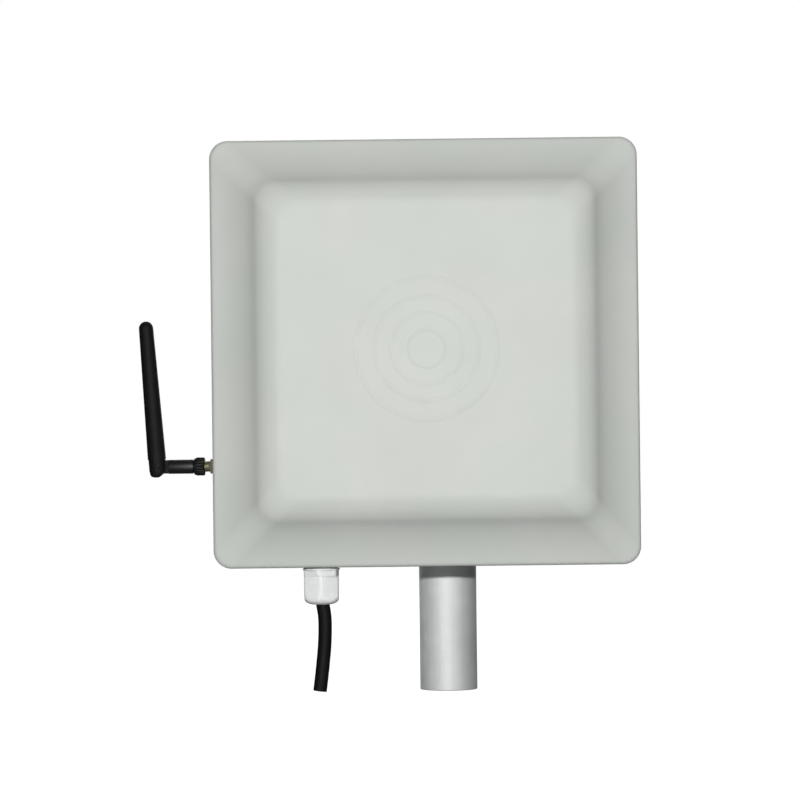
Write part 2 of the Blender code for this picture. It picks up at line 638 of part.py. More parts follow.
def gland(mats, centre, holder):
    """Everything runs down from the gland's seat under the tray."""
    seat = centre + Vector((GLAND_X, GLAND_Y, GLAND_SEAT - GAP))
    hex_drop = -4.6 * MM
    bore = CABLE_RADIUS + GAP
    ring = 18

    def level(radius, height, turn=GLAND_TURN):
        return across_z(circle(radius, ring, start=turn), height)

    def flats(size, height, turn=GLAND_TURN):
        return across_z(hexagon(size, 3, turn), height)

    body = [
        level(bore, 9.2 * MM), level(7.6 * MM, 9.2 * MM), level(7.6 * MM, 0), level(9.4 * MM, 0),
        level(9.4 * MM, -GAP), level(GLAND_FLANGE, -GAP), level(GLAND_FLANGE, -1.5 * MM),
        flats(GLAND_FLATS, -1.5 * MM), flats(GLAND_FLATS, hex_drop), level(7.6 * MM, hex_drop), level(7.6 * MM, -14.3 * MM),
        level(6.4 * MM, -14.3 * MM), level(6.4 * MM, -6.3 * MM), level(bore, -6.3 * MM),
    ]
    new_object("gland_body", skin(body, ring=True), mats["nylon"], seat, holder)
    hex_nut("gland_locknut", mats["nylon"], seat + Vector((0, 0, 6.7 * MM)), holder, 18 * MM, 7.6 * MM + GAP,
            2.4 * MM, across_z)
    seal = [(bore, -13.9 * MM), (6.1 * MM, -13.9 * MM), (6.1 * MM, -6.7 * MM), (bore, -6.7 * MM)]
    new_object("gland_seal", spin_ring(seal, 14), mats["rubber"], seat, holder)
    start = hex_drop - GAP
    end = -20.5 * MM
    thread = 7.6 * MM + GAP
    outside = [flats(size, height, CAP_TURN) for size, height in (
        (CAP_FLATS, start), (CAP_FLATS, -13.8 * MM), (18.4 * MM, -16.2 * MM),
    )]
    round_part = [(8.5 * MM, -17.9 * MM), (7.3 * MM, -19.4 * MM), (5.7 * MM, end), (CAP_MOUTH, end)]
    inside = [(CAP_MOUTH, -17.9 * MM), (bore, -17.5 * MM), (bore, -16.7 * MM), (thread, -14.9 * MM), (thread, start)]
    cap = outside + [level(radius, height, CAP_TURN) for radius, height in round_part + inside]
    new_object("gland_nut", skin(cap, ring=True), mats["nylon"], seat, holder)

    path = [(-33 * MM, -88 * MM, -34.6 * MM), (-35 * MM, -87.5 * MM, -54 * MM), (-52 * MM, -85 * MM, -82 * MM)]
    path += [(-58.2 * MM, -84.1 * MM, -97 * MM), (GLAND_X, GLAND_Y, -104 * MM), (GLAND_X, GLAND_Y, -108 * MM)]
    path += [(GLAND_X, GLAND_Y, -132 * MM), (GLAND_X, GLAND_Y, -135 * MM)]
    for drop, sway in ((-138.4, 0.6), (-142.6, 1.3), (-147, 1.7), (-154, 1.7), (-162.6, 1.25), (-170, 0.5)):
        path.append((GLAND_X + sway * MM, GLAND_Y, drop * MM))
    path += [(GLAND_X - 0.4 * MM, GLAND_Y, -178 * MM), (GLAND_X - 1.5 * MM, GLAND_Y, CABLE_END)]
    cable_path = [centre + Vector(p) for p in eased_path(path, 3)]
    wire("cable", cable_path, CABLE_RADIUS, mats["black"], holder, 2)


# Tilt bracket: two bent plates that share a pivot bolt, with a lock bolt in an arc slot


def bent_section(inner_u, corner, toward, reach):
    """An L section in the XY plane: a face along X, a rounded bend at corner, an ear along Y.

    inner_u is the face's free end, corner the outside corner, toward the sign of Y the ear points to."""
    bend = 5 * MM
    x, y = corner
    turn = [step * pi / 2 / BEND_STEPS for step in range(BEND_STEPS + 1)]
    outside = [(x - bend + bend * sin(a), y + toward * (bend - bend * cos(a))) for a in turn]
    small = bend - SHEET
    inside = [(x - bend + small * sin(a), y + toward * (bend - small * cos(a))) for a in reversed(turn)]
    outline = [(inner_u, y)] + outside + [(x, y + toward * reach), (x - SHEET, y + toward * reach)]
    return outline + inside + [(inner_u, y + toward * SHEET)]


def clamp_bracket(metal, holder):
    """The mast side of the bracket: a face behind the saddles, its ear pointing forwards."""
    centre = Vector((0, 0, PANEL_Z))
    back = CLAMP_FRONT_Y + SHEET
    section = bent_section(-CLAMP_HALF_WIDTH, (CLAMP_HALF_WIDTH, back), -1, 40 * MM)
    bent = new_object(
        "clamp_bracket", plate(section, across_z, -CLAMP_HALF_HEIGHT, CLAMP_HALF_HEIGHT), metal, centre, holder
    )
    pivot, lock = (PIVOT_Y, 0), (PIVOT_Y, -LOCK_DROP)
    radius = 11 * MM
    side = arc(lock, radius, pi, 3 * pi / 2, 8)
    side += [(back - 3.5 * MM, -LOCK_DROP - radius), (back - 3.5 * MM, -CLAMP_HALF_HEIGHT - MM)]
    side += [(back + MM, -CLAMP_HALF_HEIGHT - MM), (back + MM, CLAMP_HALF_HEIGHT + MM)]
    side += [(back - 3.5 * MM, CLAMP_HALF_HEIGHT + MM), (back - 3.5 * MM, radius)]
    side += arc(pivot, radius, pi / 2, pi, 8)
    combine(bent, "clamp_side_view", plate(side, across_x, -40 * MM, 40 * MM), "INTERSECT")
    front = rounded_rectangle(CLAMP_HALF_WIDTH + MM, CLAMP_HALF_HEIGHT, 5 * MM, 4)
    combine(bent, "clamp_front_view", plate(front, across_y, -80 * MM, -20 * MM), "INTERSECT")
    legs = corners(U_BOLT_BEND, U_BOLT_RISE)
    combine(bent, "clamp_leg_holes", rods(legs, U_BOLT_RADIUS + 0.4 * MM, -40 * MM, -20 * MM))
    combine(bent, "clamp_pivot_hole", rods([pivot], 4.3 * MM, 20 * MM, 45 * MM, across_x, 18))
    combine(bent, "clamp_lock_hole", rods([lock], 3.3 * MM, 20 * MM, 45 * MM, across_x))


def reader_bracket(metal, holder):
    """The reader's side of the bracket: a base on the tray's back, its ear pointing backwards."""
    centre = Vector((0, 0, PANEL_Z))
    face = BACK_Y + GAP
    right = CLAMP_HALF_WIDTH + GAP + SHEET
    left = PANEL_X - (right - PANEL_X)
    section = bent_section(left, (right, face), 1, 42 * MM)
    bent = new_object(
        "reader_bracket", plate(section, across_z, -BASE_HALF_HEIGHT, BASE_HALF_HEIGHT), metal, centre, holder
    )
    pivot, lock = (PIVOT_Y, 0), (PIVOT_Y, -LOCK_DROP)
    radius = 13 * MM
    side = arc(pivot, radius, 0, pi / 2, 8)
    side += [(face + 8 * MM, radius + 14 * MM), (face + 3.5 * MM, radius + 18 * MM)]
    side += [(face + 3.5 * MM, BASE_HALF_HEIGHT + MM), (face - MM, BASE_HALF_HEIGHT + MM)]
    side += [(face - MM, -BASE_HALF_HEIGHT - MM), (face + 3.5 * MM, -BASE_HALF_HEIGHT - MM)]
    side += [(face + 3.5 * MM, -LOCK_DROP - radius - 4 * MM), (face + 8 * MM, -LOCK_DROP - radius)]
    side += arc(lock, radius, -pi / 2, 0, 8)
    combine(bent, "base_side_view", plate(side, across_x, -80 * MM, 80 * MM), "INTERSECT")
    front = [(PANEL_X + u, v) for u, v in rounded_rectangle(BASE_HALF + MM, BASE_HALF_HEIGHT, 6 * MM, 4)]
    combine(bent, "base_front_view", plate(front, across_y, -80 * MM, -20 * MM), "INTERSECT")
    screws = [(PANEL_X + u, v) for u, v in corners(BRACKET_PITCH)]
    combine(bent, "base_screw_holes", rods(screws, 2.9 * MM, -80 * MM, -60 * MM))
    combine(bent, "ear_pivot_hole", rods([pivot], 4.3 * MM, 20 * MM, 45 * MM, across_x, 18))
    combine(bent, "ear_arc_slot", plate(arc_slot(pivot, LOCK_DROP), across_x, 20 * MM, 45 * MM))


def arc_slot(pivot, radius):
    """The slot that the lock bolt sweeps: round-ended, centred straight below the pivot."""
    half_width = 3.4 * MM
    span = TILT_SPAN + radians(1.5)
    down = -pi / 2
    outline = arc(pivot, radius + half_width, down - span, down + span, 12)
    for side in (1, -1):
        angle = down + side * span
        end = (pivot[0] + radius * cos(angle), pivot[1] + radius * sin(angle))
        first = angle if side == 1 else angle + pi
        outline += arc(end, half_width, first, first + pi, 6)[1:-1]
        if side == 1:
            outline += arc(pivot, radius - half_width, down + span, down - span, 12)
    return outline


def bracket_fasteners(mats, centre, clamp, reader):
    outside = CLAMP_HALF_WIDTH + 2 * GAP + SHEET
    nut_at = CLAMP_HALF_WIDTH - SHEET - GAP
    for name, drop, flats, radius, head in (
        ("pivot", 0, 13 * MM, 4 * MM, 5.3 * MM),
        ("tilt_lock", LOCK_DROP, 10 * MM, 3 * MM, 4 * MM),
    ):
        place = Vector((outside, PIVOT_Y, PANEL_Z - drop))
        hex_bolt(f"{name}_bolt", mats["zinc"], place, clamp, flats, head, radius, 17 * MM)
        place = Vector((nut_at, PIVOT_Y, PANEL_Z - drop))
        hex_nut(f"{name}_nut", mats["zinc"], place, clamp, flats, radius + GAP, -radius * 1.5, across_x)
    for number, (u, v) in enumerate(corners(BRACKET_PITCH), 1):
        place = centre + Vector((u, BACK_Y + 2 * GAP + SHEET, v))
        pan_screw(f"bracket_screw_{number}", mats["zinc"], place, reader, 2.5 * MM, 10 * MM, 4.8 * MM, 3.2 * MM)


def mast_clamp(mats, holder):
    """Two saddles and two U-bolts that grip the mast, with four nuts on the clamp bracket's front."""
    seat = CLAMP_FRONT_Y + SHEET + GAP
    notch = (MAST_RADIUS + GAP) / cos(pi / 4)
    mouth = -10 * MM
    half = notch + mouth
    outline = [(-29 * MM, seat), (29 * MM, seat), (29 * MM, mouth), (half, mouth), (0, -notch), (-half, mouth)]
    outline += [(-29 * MM, mouth)]
    for name, rise, first in (("upper", U_BOLT_RISE, 1), ("lower", -U_BOLT_RISE, 3)):
        centre = Vector((0, 0, PANEL_Z + rise))
        saddle = new_object(f"saddle_{name}", plate(outline, across_z, -9 * MM, 9 * MM), mats["cast"], centre, holder)
        legs = [(-U_BOLT_BEND, 0), (U_BOLT_BEND, 0)]
        combine(saddle, f"saddle_{name}_holes", rods(legs, U_BOLT_RADIUS + 0.4 * MM, -40 * MM, 0))
        path = [(-U_BOLT_BEND, -41 * MM)] + arc((0, 0), U_BOLT_BEND, pi, 0, 16) + [(U_BOLT_BEND, -41 * MM)]
        wire(f"u_bolt_{name}", [centre + Vector((u, v, 0)) for u, v in path], U_BOLT_RADIUS, mats["zinc"], holder)
        for number, side in ((first, -1), (first + 1, 1)):
            place = centre + Vector((side * U_BOLT_BEND, CLAMP_FRONT_Y - GAP, 0))
            hex_nut(f"u_bolt_nut_{number}", mats["zinc"], place, holder, 10 * MM, U_BOLT_RADIUS + GAP, -5 * MM,
                    across_y)


def build():
    clear_scene()
    mats = {
        "radome": make_material("radome_plastic", (0.63, 0.65, 0.61), 0.5),
        "tray": make_material("tray_paint", (0.52, 0.53, 0.52), 0.45),
        "nylon": make_material("white_nylon", (0.62, 0.64, 0.63), 0.45),
        "black": make_material("black_plastic", (0.016, 0.016, 0.017), 0.5),
        "rubber": make_material("rubber", (0.02, 0.02, 0.02), 0.8),
        "gold": make_material("gold_plate", (0.75, 0.55, 0.22), 0.3, 1.0),
        "brass": make_material("tinned_brass", (0.6, 0.5, 0.3), 0.35, 1.0),
        "aluminium": make_material("mast_aluminium", (0.66, 0.66, 0.67), 0.38, 1.0),
        "sheet": make_material("sheet_aluminium", (0.72, 0.72, 0.73), 0.4, 1.0),
        "zinc": make_material("zinc_plate", (0.6, 0.61, 0.63), 0.35, 1.0),
        "steel": make_material("stainless_steel", (0.62, 0.61, 0.6), 0.3, 1.0),
        "cast": make_material("cast_saddle", (0.42, 0.43, 0.44), 0.5, 1.0),
        "board": make_material("circuit_board", (0.02, 0.12, 0.05), 0.5),
        "green": make_material("terminal_green", (0.04, 0.3, 0.09), 0.5),
    }
    centre = Vector((PANEL_X, 0, PANEL_Z))
    clamp = axis_empty("mast_pan_axis", (0, 0, PANEL_Z))
    reader = axis_empty("panel_tilt_axis", (0, PIVOT_Y, PANEL_Z), clamp)
    whip_line = centre + Vector((0, WHIP_Y, WHIP_DROP))
    collar_axis = axis_empty("collar_axis", whip_line + Vector((COLLAR_NEAR, 0, 0)), reader)
    swivel_axis = axis_empty("whip_swivel_axis", whip_line + Vector((COLLAR_FAR, 0, 0)), reader)
    fold_axis = axis_empty("whip_fold_axis", whip_line + Vector((ELBOW_REACH, 0, 0)), swivel_axis)

    mast(mats["aluminium"], mats["black"])
    clamp_bracket(mats["zinc"], clamp)
    mast_clamp(mats, clamp)
    reader_bracket(mats["zinc"], reader)
    bracket_fasteners(mats, centre, clamp, reader)
    radome(mats["radome"], centre, reader)
    rear_tray(mats["tray"], centre, reader)
    gasket(mats["rubber"], centre, reader)
    cover_screws(mats["steel"], centre, reader)
    aerial_stack(mats["sheet"], mats["nylon"], mats["brass"], centre, reader)
    electronics(mats, centre, reader)
    whip_aerial(mats, centre, reader, collar_axis, swivel_axis, fold_axis)
    gland(mats, centre, reader)


build()
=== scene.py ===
import json
from math import asin, atan2, cos, hypot, pi, radians, sin, tan

import bmesh
import bpy
from mathutils import Matrix, Vector


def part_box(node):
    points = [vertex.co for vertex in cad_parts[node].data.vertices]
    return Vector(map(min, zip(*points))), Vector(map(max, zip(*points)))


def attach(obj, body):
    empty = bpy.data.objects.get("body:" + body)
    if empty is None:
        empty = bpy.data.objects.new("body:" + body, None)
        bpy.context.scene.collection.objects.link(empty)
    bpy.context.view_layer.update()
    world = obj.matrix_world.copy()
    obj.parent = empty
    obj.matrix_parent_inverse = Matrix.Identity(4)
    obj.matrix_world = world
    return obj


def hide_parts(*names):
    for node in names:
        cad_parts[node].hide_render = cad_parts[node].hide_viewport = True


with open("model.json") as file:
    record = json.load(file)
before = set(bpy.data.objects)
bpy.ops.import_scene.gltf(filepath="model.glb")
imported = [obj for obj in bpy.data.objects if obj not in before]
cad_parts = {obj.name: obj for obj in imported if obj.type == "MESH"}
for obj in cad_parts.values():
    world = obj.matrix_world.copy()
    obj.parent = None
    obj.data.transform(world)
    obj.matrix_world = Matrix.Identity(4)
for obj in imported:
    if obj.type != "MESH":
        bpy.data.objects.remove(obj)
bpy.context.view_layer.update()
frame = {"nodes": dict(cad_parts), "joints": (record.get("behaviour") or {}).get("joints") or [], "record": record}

MM = 0.001
GAP = 0.3 * MM
RECORD = frame["record"]
BODY = {node: body for body, nodes in RECORD["behaviour"]["bodies"].items() for node in nodes}
SLOT = {part["node"]: part["material_slot"] for part in RECORD["subparts"]}
JOINT = {joint["name"]: joint for joint in frame["joints"]}


def middle(node):
    low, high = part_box(node)
    return (low + high) / 2


# The panel, from the boxes of its two shells
RADOME_LOW, RADOME_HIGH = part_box("radome")
TRAY_LOW, TRAY_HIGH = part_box("rear_tray")
PANEL = Vector(((RADOME_LOW.x + RADOME_HIGH.x) / 2, 0, (RADOME_LOW.z + RADOME_HIGH.z) / 2))
PANEL_HALF = (RADOME_HIGH.x - RADOME_LOW.x) / 2
RIB_HEIGHT = 0.5 * MM
FRONT_Y = RADOME_LOW.y + RIB_HEIGHT
BACK_Y = TRAY_HIGH.y
RIM_Y = TRAY_LOW.y
SKIRT_Y = -94 * MM
EDGE_CORNER = 10 * MM
FLAT_CORNER = 13 * MM
FLAT_HALF = 77.2 * MM
KNEE_HALF = 81.6 * MM
SHOULDER_HALF = 86 * MM
BROW_HALF = 90 * MM
CREST_HALF = 92.6 * MM
HOLLOW_HALF = 97.5 * MM
FLARE_HALF = 115.6 * MM
KNEE_SLOPE = radians(24)
SHOULDER_SLOPE = radians(32.5)
BROW_SLOPE = radians(44)
CREST_SLOPE = radians(54.5)
HOLLOW_SLOPE = radians(44)
EDGE_SLOPE = radians(24.5)
SHELL = 2.5 * MM
TRAY_HALF = 116.3 * MM
TRAY_BACK_HALF = 113.3 * MM
CAVITY_HALF = 111.8 * MM
COVER_PITCH = 104 * MM
BRACKET_PITCH = 37.5 * MM

# Axes of the joints
WHIP_AXIS = Vector(JOINT["whip_swivel"]["pos_m"])
ELBOW = Vector(JOINT["whip_fold"]["pos_m"])
PIVOT = Vector(JOINT["panel_tilt"]["pos_m"])
WHIP_LEAN = radians(4.1)

# Mast and bracket
MAST_LOW, MAST_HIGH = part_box("mast_tube")
MAST_RADIUS = (MAST_HIGH.x - MAST_LOW.x) / 2
MAST_WALL = 2 * MM
CLAMP_LOW, CLAMP_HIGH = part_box("clamp_bracket")
BASE_LOW, BASE_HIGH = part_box("reader_bracket")
SHEET = 3 * MM
BEND = 5 * MM
LOCK_DROP = 24 * MM
U_BOLT_RISE = 36 * MM
ROD = 3 * MM
U_BOLT_BEND = MAST_RADIUS + GAP + ROD


# ---------------------------------------------------------------- outlines


def arc(centre, radius, first, last, steps):
    angles = [first + (last - first) * step / steps for step in range(steps + 1)]
    return [(centre[0] + radius * cos(a), centre[1] + radius * sin(a)) for a in angles]


def circle(radius, count, centre=(0, 0), start=0.0):
    return arc(centre, radius, start, start + 2 * pi, count)[:-1]


def rounded_rectangle(half_u, half_v, radius, steps):
    outline = []
    for index, (sign_u, sign_v) in enumerate(((1, 1), (-1, 1), (-1, -1), (1, -1))):
        centre = (sign_u * (half_u - radius), sign_v * (half_v - radius))
        outline += arc(centre, radius, index * pi / 2, (index + 1) * pi / 2, steps)
    return outline


def filleted(points, steps=6):
    """Round each (u, v, radius) corner of a polygon with a tangent arc."""
    outline = []
    count = len(points)
    for index, (u, v, radius) in enumerate(points):
        here = Vector((u, v))
        before = (Vector(points[index - 1][:2]) - here).normalized()
        after = (Vector(points[(index + 1) % count][:2]) - here).normalized()
        if radius <= 0:
            outline.append((u, v))
            continue
        half_angle = before.angle(after) / 2
        centre = here + (before + after).normalized() * radius / sin(half_angle)
        near = here + before * radius / tan(half_angle) - centre
        far = here + after * radius / tan(half_angle) - centre
        first = atan2(near.y, near.x)
        turn = (atan2(far.y, far.x) - first + pi) % (2 * pi) - pi
        outline += arc(centre, radius, first, first + turn, steps)
    return outline


def hex_radius(angle, across_flats):
    """Distance from a hexagon's middle to its edge; a corner lies at angle 0."""
    return across_flats / 2 / cos((angle % (pi / 3)) - pi / 6)


def smooth_least(a, b, blend):
    """The smaller of two lengths, rounded where they meet."""
    share = max(0.0, min(1.0, 0.5 + (b - a) / (2 * blend)))
    return b + (a - b) * share - blend * share * (1 - share)


# ---------------------------------------------------------------- meshes


def mm(*points):
    """Points given in millimetres."""
    return [tuple(value * MM for value in point) for point in points]


def linked(name, data):
    """A new object in the scene."""
    obj = bpy.data.objects.new(name, data)
    bpy.context.scene.collection.objects.link(obj)
    return obj


def new_piece(name, bm, material, smooth=40):
    bmesh.ops.remove_doubles(bm, verts=bm.verts, dist=0.0005 * MM)
    bmesh.ops.recalc_face_normals(bm, faces=bm.faces)
    mesh = bpy.data.meshes.new(name)
    bm.to_mesh(mesh)
    bm.free()
    mesh.materials.append(material)
    mesh.shade_smooth()
    mesh.set_sharp_from_angle(angle=radians(smooth))
    return linked(name, mesh)


def skin(loops, ring=False):
    """Join loops of equal length; the ends are capped, or joined to each other on a ring."""
    bm = bmesh.new()
    rows = [[bm.verts.new(point) for point in loop] for loop in loops]
    pairs = list(zip(rows, rows[1:]))
    if ring:
        pairs.append((rows[-1], rows[0]))
    else:
        bm.faces.new(rows[0])
        bm.faces.new(rows[-1])
    count = len(rows[0])
    for near, far in pairs:
        for step in range(count):
            after = (step + 1) % count
            bm.faces.new((near[step], near[after], far[after], far[step]))
    return bm


def turned(profile, count=64, ring=False):
    """A solid turned about Z from (radius, height) points; a ring's outline is closed."""
    angles = [2 * pi * step / count for step in range(count)]
    rows = [[Vector((r * cos(a), r * sin(a), h)) for a in angles] for r, h in profile]
    return skin(rows, ring)


def round_loop(radius_at, height, count):
    """A loop about Z whose radius is a function of the angle."""
    angles = [2 * pi * step / count for step in range(count)]
    return [Vector((radius_at(a) * cos(a), radius_at(a) * sin(a), height)) for a in angles]


def at(place, turn=0.0, axis="Z"):
    """A turn about one axis, then a shift to a place."""
    return Matrix.Translation(place) @ Matrix.Rotation(turn, 4, axis)


def moved(bm, matrix):
    bmesh.ops.transform(bm, matrix=matrix, verts=bm.verts)
    return bm


def merged(*parts):
    """Several closed shapes as one mesh."""
    whole = bmesh.new()
    for part in parts:
        mesh = bpy.data.meshes.new("part")
        part.to_mesh(mesh)
        part.free()
        whole.from_mesh(mesh)
        bpy.data.meshes.remove(mesh)
    return whole


def baked(obj):
    """Apply an object's modifiers to its mesh."""
    evaluated = obj.evaluated_get(bpy.context.evaluated_depsgraph_get())
    mesh = bpy.data.meshes.new_from_object(evaluated)
    obj.modifiers.clear()
    obj.data = mesh
    return obj


def carved(obj, cutter_bm, operation="DIFFERENCE", smooth=40):
    """Apply one Boolean and drop its operand."""
    cutter = new_piece("cutter", cutter_bm, obj.data.materials[0])
    modifier = obj.modifiers.new("carve", "BOOLEAN")
    modifier.operation = operation
    modifier.solver = "EXACT"
    modifier.object = cutter
    bpy.context.view_layer.update()
    baked(obj)
    bpy.data.objects.remove(cutter)
    obj.data.shade_smooth()
    obj.data.set_sharp_from_angle(angle=radians(smooth))
    return obj


def rounded_edges(obj, width, segments=2, angle=35):
    modifier = obj.modifiers.new("edges", "BEVEL")
    modifier.width = width
    modifier.segments = segments
    modifier.limit_method = "ANGLE"
    modifier.angle_limit = radians(angle)
    modifier.use_clamp_overlap = True
    bpy.context.view_layer.update()
    baked(obj)
    obj.data.shade_smooth()
    obj.data.set_sharp_from_angle(angle=radians(angle + 15))
    return obj


def sheet(outline, holes, thick, edge):
    """A flat plate with holes and softened edges: outline in XY, from z 0 to thick."""
    curve = bpy.data.curves.new("sheet", "CURVE")
    curve.dimensions = "2D"
    curve.fill_mode = "BOTH"
    curve.extrude = thick / 2 - edge
    curve.bevel_depth = edge
    curve.bevel_resolution = 1
    curve.offset = -edge
    for loop in [outline] + [list(reversed(hole)) for hole in holes]:
        spline = curve.splines.new("POLY")
        spline.points.add(len(loop) - 1)
        for point, (u, v) in zip(spline.points, loop):
            point.co = (u, v, 0, 1)
        spline.use_cyclic_u = True
    obj = linked("sheet", curve)
    bpy.context.view_layer.update()
    mesh = bpy.data.meshes.new_from_object(obj.evaluated_get(bpy.context.evaluated_depsgraph_get()))
    bm = bmesh.new()
    bm.from_mesh(mesh)
    bpy.data.objects.remove(obj)
    bmesh.ops.remove_doubles(bm, verts=bm.verts, dist=0.002 * MM)
    bmesh.ops.translate(bm, verts=bm.verts, vec=(0, 0, thick / 2))
    return bm


def swept(path, radius_at, count):
    """A round rod along a path; radius_at(distance, angle) gives its radius."""
    points = [Vector(p) for p in path]
    tangents = []
    for index in range(len(points)):
        before = points[max(index - 1, 0)]
        after = points[min(index + 1, len(points) - 1)]
        tangents.append((after - before).normalized())
    side = tangents[0].orthogonal().normalized()
    loops, distance = [], 0.0
    for index, (point, tangent) in enumerate(zip(points, tangents)):
        if index:
            side = (tangents[index - 1].rotation_difference(tangent) @ side).normalized()
            distance += (point - points[index - 1]).length
        up = tangent.cross(side)
        loop = []
        for step in range(count):
            angle = 2 * pi * step / count
            radius = radius_at(distance, angle)
            loop.append(point + (side * cos(angle) + up * sin(angle)) * radius)
        loops.append(loop)
    return skin(loops)


def eased_path(points, steps):
    """Points along a smooth curve through the given ones."""
    spans = [Vector(points[0])] + [Vector(p) for p in points] + [Vector(points[-1])]
    path = [spans[1]]
    for a, b, c, d in zip(spans, spans[1:], spans[2:], spans[3:]):
        for step in range(1, steps + 1):
            t = step / steps
            path.append(0.5 * (2 * b + (c - a) * t + (2 * a - 5 * b + 4 * c - d) * t**2
                               + (3 * b - a - 3 * c + d) * t**3))
    return path


def show(piece, node, *more):
    """The piece stands for a CAD node and moves with that node's body."""
    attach(piece, BODY[node])
    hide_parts(node, *more)
    return piece


# ---------------------------------------------------------------- materials


class Nodes:
    """Short calls for building the nodes of one material, or of the world."""

    def __init__(self, name, owner=None, shader="Principled BSDF"):
        self.material = owner or bpy.data.materials.new(name)
        self.material.use_nodes = True
        self.tree = self.material.node_tree
        self.shader = self.tree.nodes[shader]
        self.place = self.tree.nodes.new("ShaderNodeTexCoord").outputs["Object"]

    def add(self, kind, inputs=None, **settings):
        node = self.tree.nodes.new("ShaderNode" + kind)
        for key, value in settings.items():
            setattr(node, key, value)
        for key, value in (inputs or {}).items():
            self.feed(node.inputs[key], value)
        return node

    def feed(self, socket, value):
        if isinstance(value, bpy.types.NodeSocket):
            self.tree.links.new(value, socket)
        else:
            socket.default_value = value

    def stretched(self, scale):
        return self.add("Mapping", {"Vector": self.place, "Scale": scale}).outputs["Vector"]

    def noise(self, size, detail=4.0, rough=0.55, stretch=None):
        vector = self.stretched(stretch) if stretch else self.place
        inputs = {"Vector": vector, "Scale": 1 / size, "Detail": detail, "Roughness": rough}
        return self.add("TexNoise", inputs).outputs["Fac"]

    def cells(self, size, feature="F1"):
        inputs = {"Vector": self.place, "Scale": 1 / size}
        return self.add("TexVoronoi", inputs, feature=feature).outputs["Distance"]

    def ramp(self, value, low, high, to_low=0.0, to_high=1.0):
        inputs = {"Value": value, "From Min": low, "From Max": high, "To Min": to_low, "To Max": to_high}
        return self.add("MapRange", inputs).outputs["Result"]

    def maths(self, operation, a, b):
        return self.add("Math", {0: a, 1: b}, operation=operation).outputs[0]

    def mixed(self, share, first, second):
        node = self.tree.nodes.new("ShaderNodeMix")
        node.data_type = "RGBA"
        for key, value in ((0, share), (6, first), (7, second)):
            self.feed(node.inputs[key], value)
        return node.outputs[2]

    def tones(self, share, colour, first, second):
        """One colour, from one strength to another."""
        return self.mixed(share, shade(colour, first), shade(colour, second))

    def worn_edges(self, low=0.52, high=0.6):
        """1 on raised edges, 0 on flats and in hollows."""
        pointed = self.add("NewGeometry").outputs["Pointiness"]
        return self.ramp(pointed, low, high)

    # 1 in hollows, 0 on flats and edges: the mask for painted shade in hollows.
    def hollows(self, low=0.5, high=0.42):
        pointed = self.add("NewGeometry").outputs["Pointiness"]
        return self.ramp(pointed, low, high)

    def bumps(self, *layers):
        """Stack (height, depth in metres) layers."""
        normal = None
        for height, depth in layers:
            inputs = {"Height": height, "Distance": depth, "Strength": 1.0}
            if normal is not None:
                inputs["Normal"] = normal
            normal = self.add("Bump", inputs).outputs["Normal"]
        self.feed(self.shader.inputs["Normal"], normal)

    def set(self, **inputs):
        for key, value in inputs.items():
            self.feed(self.shader.inputs[key.replace("_", " ")], value)
        return self.material


def shade(colour, factor):
    return (*[min(1.0, channel * factor) for channel in colour], 1.0)


def moulded_plastic(name, colour, roughness, mottle, cloud, grain=0.25 * MM, depth=0.012 * MM):
    """Moulded plastic: faint large clouds, spark-eroded grain and a little handling dirt."""
    n = Nodes(name)
    clouds = n.noise(cloud, 3.0, 0.6)
    fine = n.noise(grain, 3.0, 0.6)
    pits = n.cells(grain / 0.7)
    tone = n.tones(n.ramp(clouds, 0.3, 0.7), colour, 1 - mottle, 1 + mottle)
    speck = n.ramp(n.noise(1.4 * MM, 2.0, 0.7), 0.66, 0.8, 0.0, 0.25)
    tone = n.mixed(speck, tone, shade(colour, 0.8))
    rough = n.ramp(fine, 0.2, 0.8, roughness - 0.06, roughness + 0.08)
    n.bumps((n.noise(9 * MM, 2.0), 0.05 * MM), (fine, depth), (pits, depth * 0.6))
    return n.set(Base_Color=tone, Roughness=rough, Specular_IOR_Level=0.45)


def radome_plastic(colour):
    """The radome's pale ABS: satin, with faint clouds, a greenish cast in places and a few small dark specks."""
    n = Nodes("radome_plastic")
    clouds = n.noise(45 * MM, 3.0, 0.6)
    tone = n.tones(n.ramp(clouds, 0.32, 0.68), colour, 0.975, 1.02)
    green = n.ramp(n.noise(60 * MM, 2.0, 0.5), 0.45, 0.7, 0.0, 0.6)
    tone = n.mixed(green, tone, (colour[0] * 0.955, colour[1] * 1.0, colour[2] * 0.985, 1.0))
    speck = n.ramp(n.noise(1.1 * MM, 2.0, 0.7), 0.68, 0.8, 0.0, 0.16)
    tone = n.mixed(speck, tone, shade(colour, 0.82))
    fine = n.noise(0.35 * MM, 3.0, 0.6)
    rough = n.ramp(fine, 0.2, 0.8, 0.72, 0.84)
    pits = n.cells(0.5 * MM)
    n.bumps((n.noise(24 * MM, 1.0), 0.12 * MM), (fine, 0.012 * MM), (pits, 0.008 * MM))
    return n.set(Base_Color=tone, Roughness=rough, Specular_IOR_Level=0.12)


def powder_coat(colour):
    """Powder paint on a casting: orange peel, satin, slightly chalky."""
    n = Nodes("tray_powder_coat")
    peel = n.noise(1.3 * MM, 2.0, 0.45)
    fine = n.noise(0.3 * MM, 2.0, 0.5)
    clouds = n.noise(40 * MM, 4.0, 0.6)
    tone = n.tones(n.ramp(clouds, 0.3, 0.7), colour, 0.95, 1.04)
    dust = n.ramp(n.noise(5 * MM, 5.0, 0.65, (1, 1, 0.35)), 0.56, 0.75, 0.0, 0.3)
    tone = n.mixed(dust, tone, shade(colour, 0.86))
    rough = n.ramp(peel, 0.2, 0.8, 0.4, 0.54)
    n.bumps((peel, 0.05 * MM), (fine, 0.01 * MM))
    return n.set(Base_Color=tone, Roughness=rough)


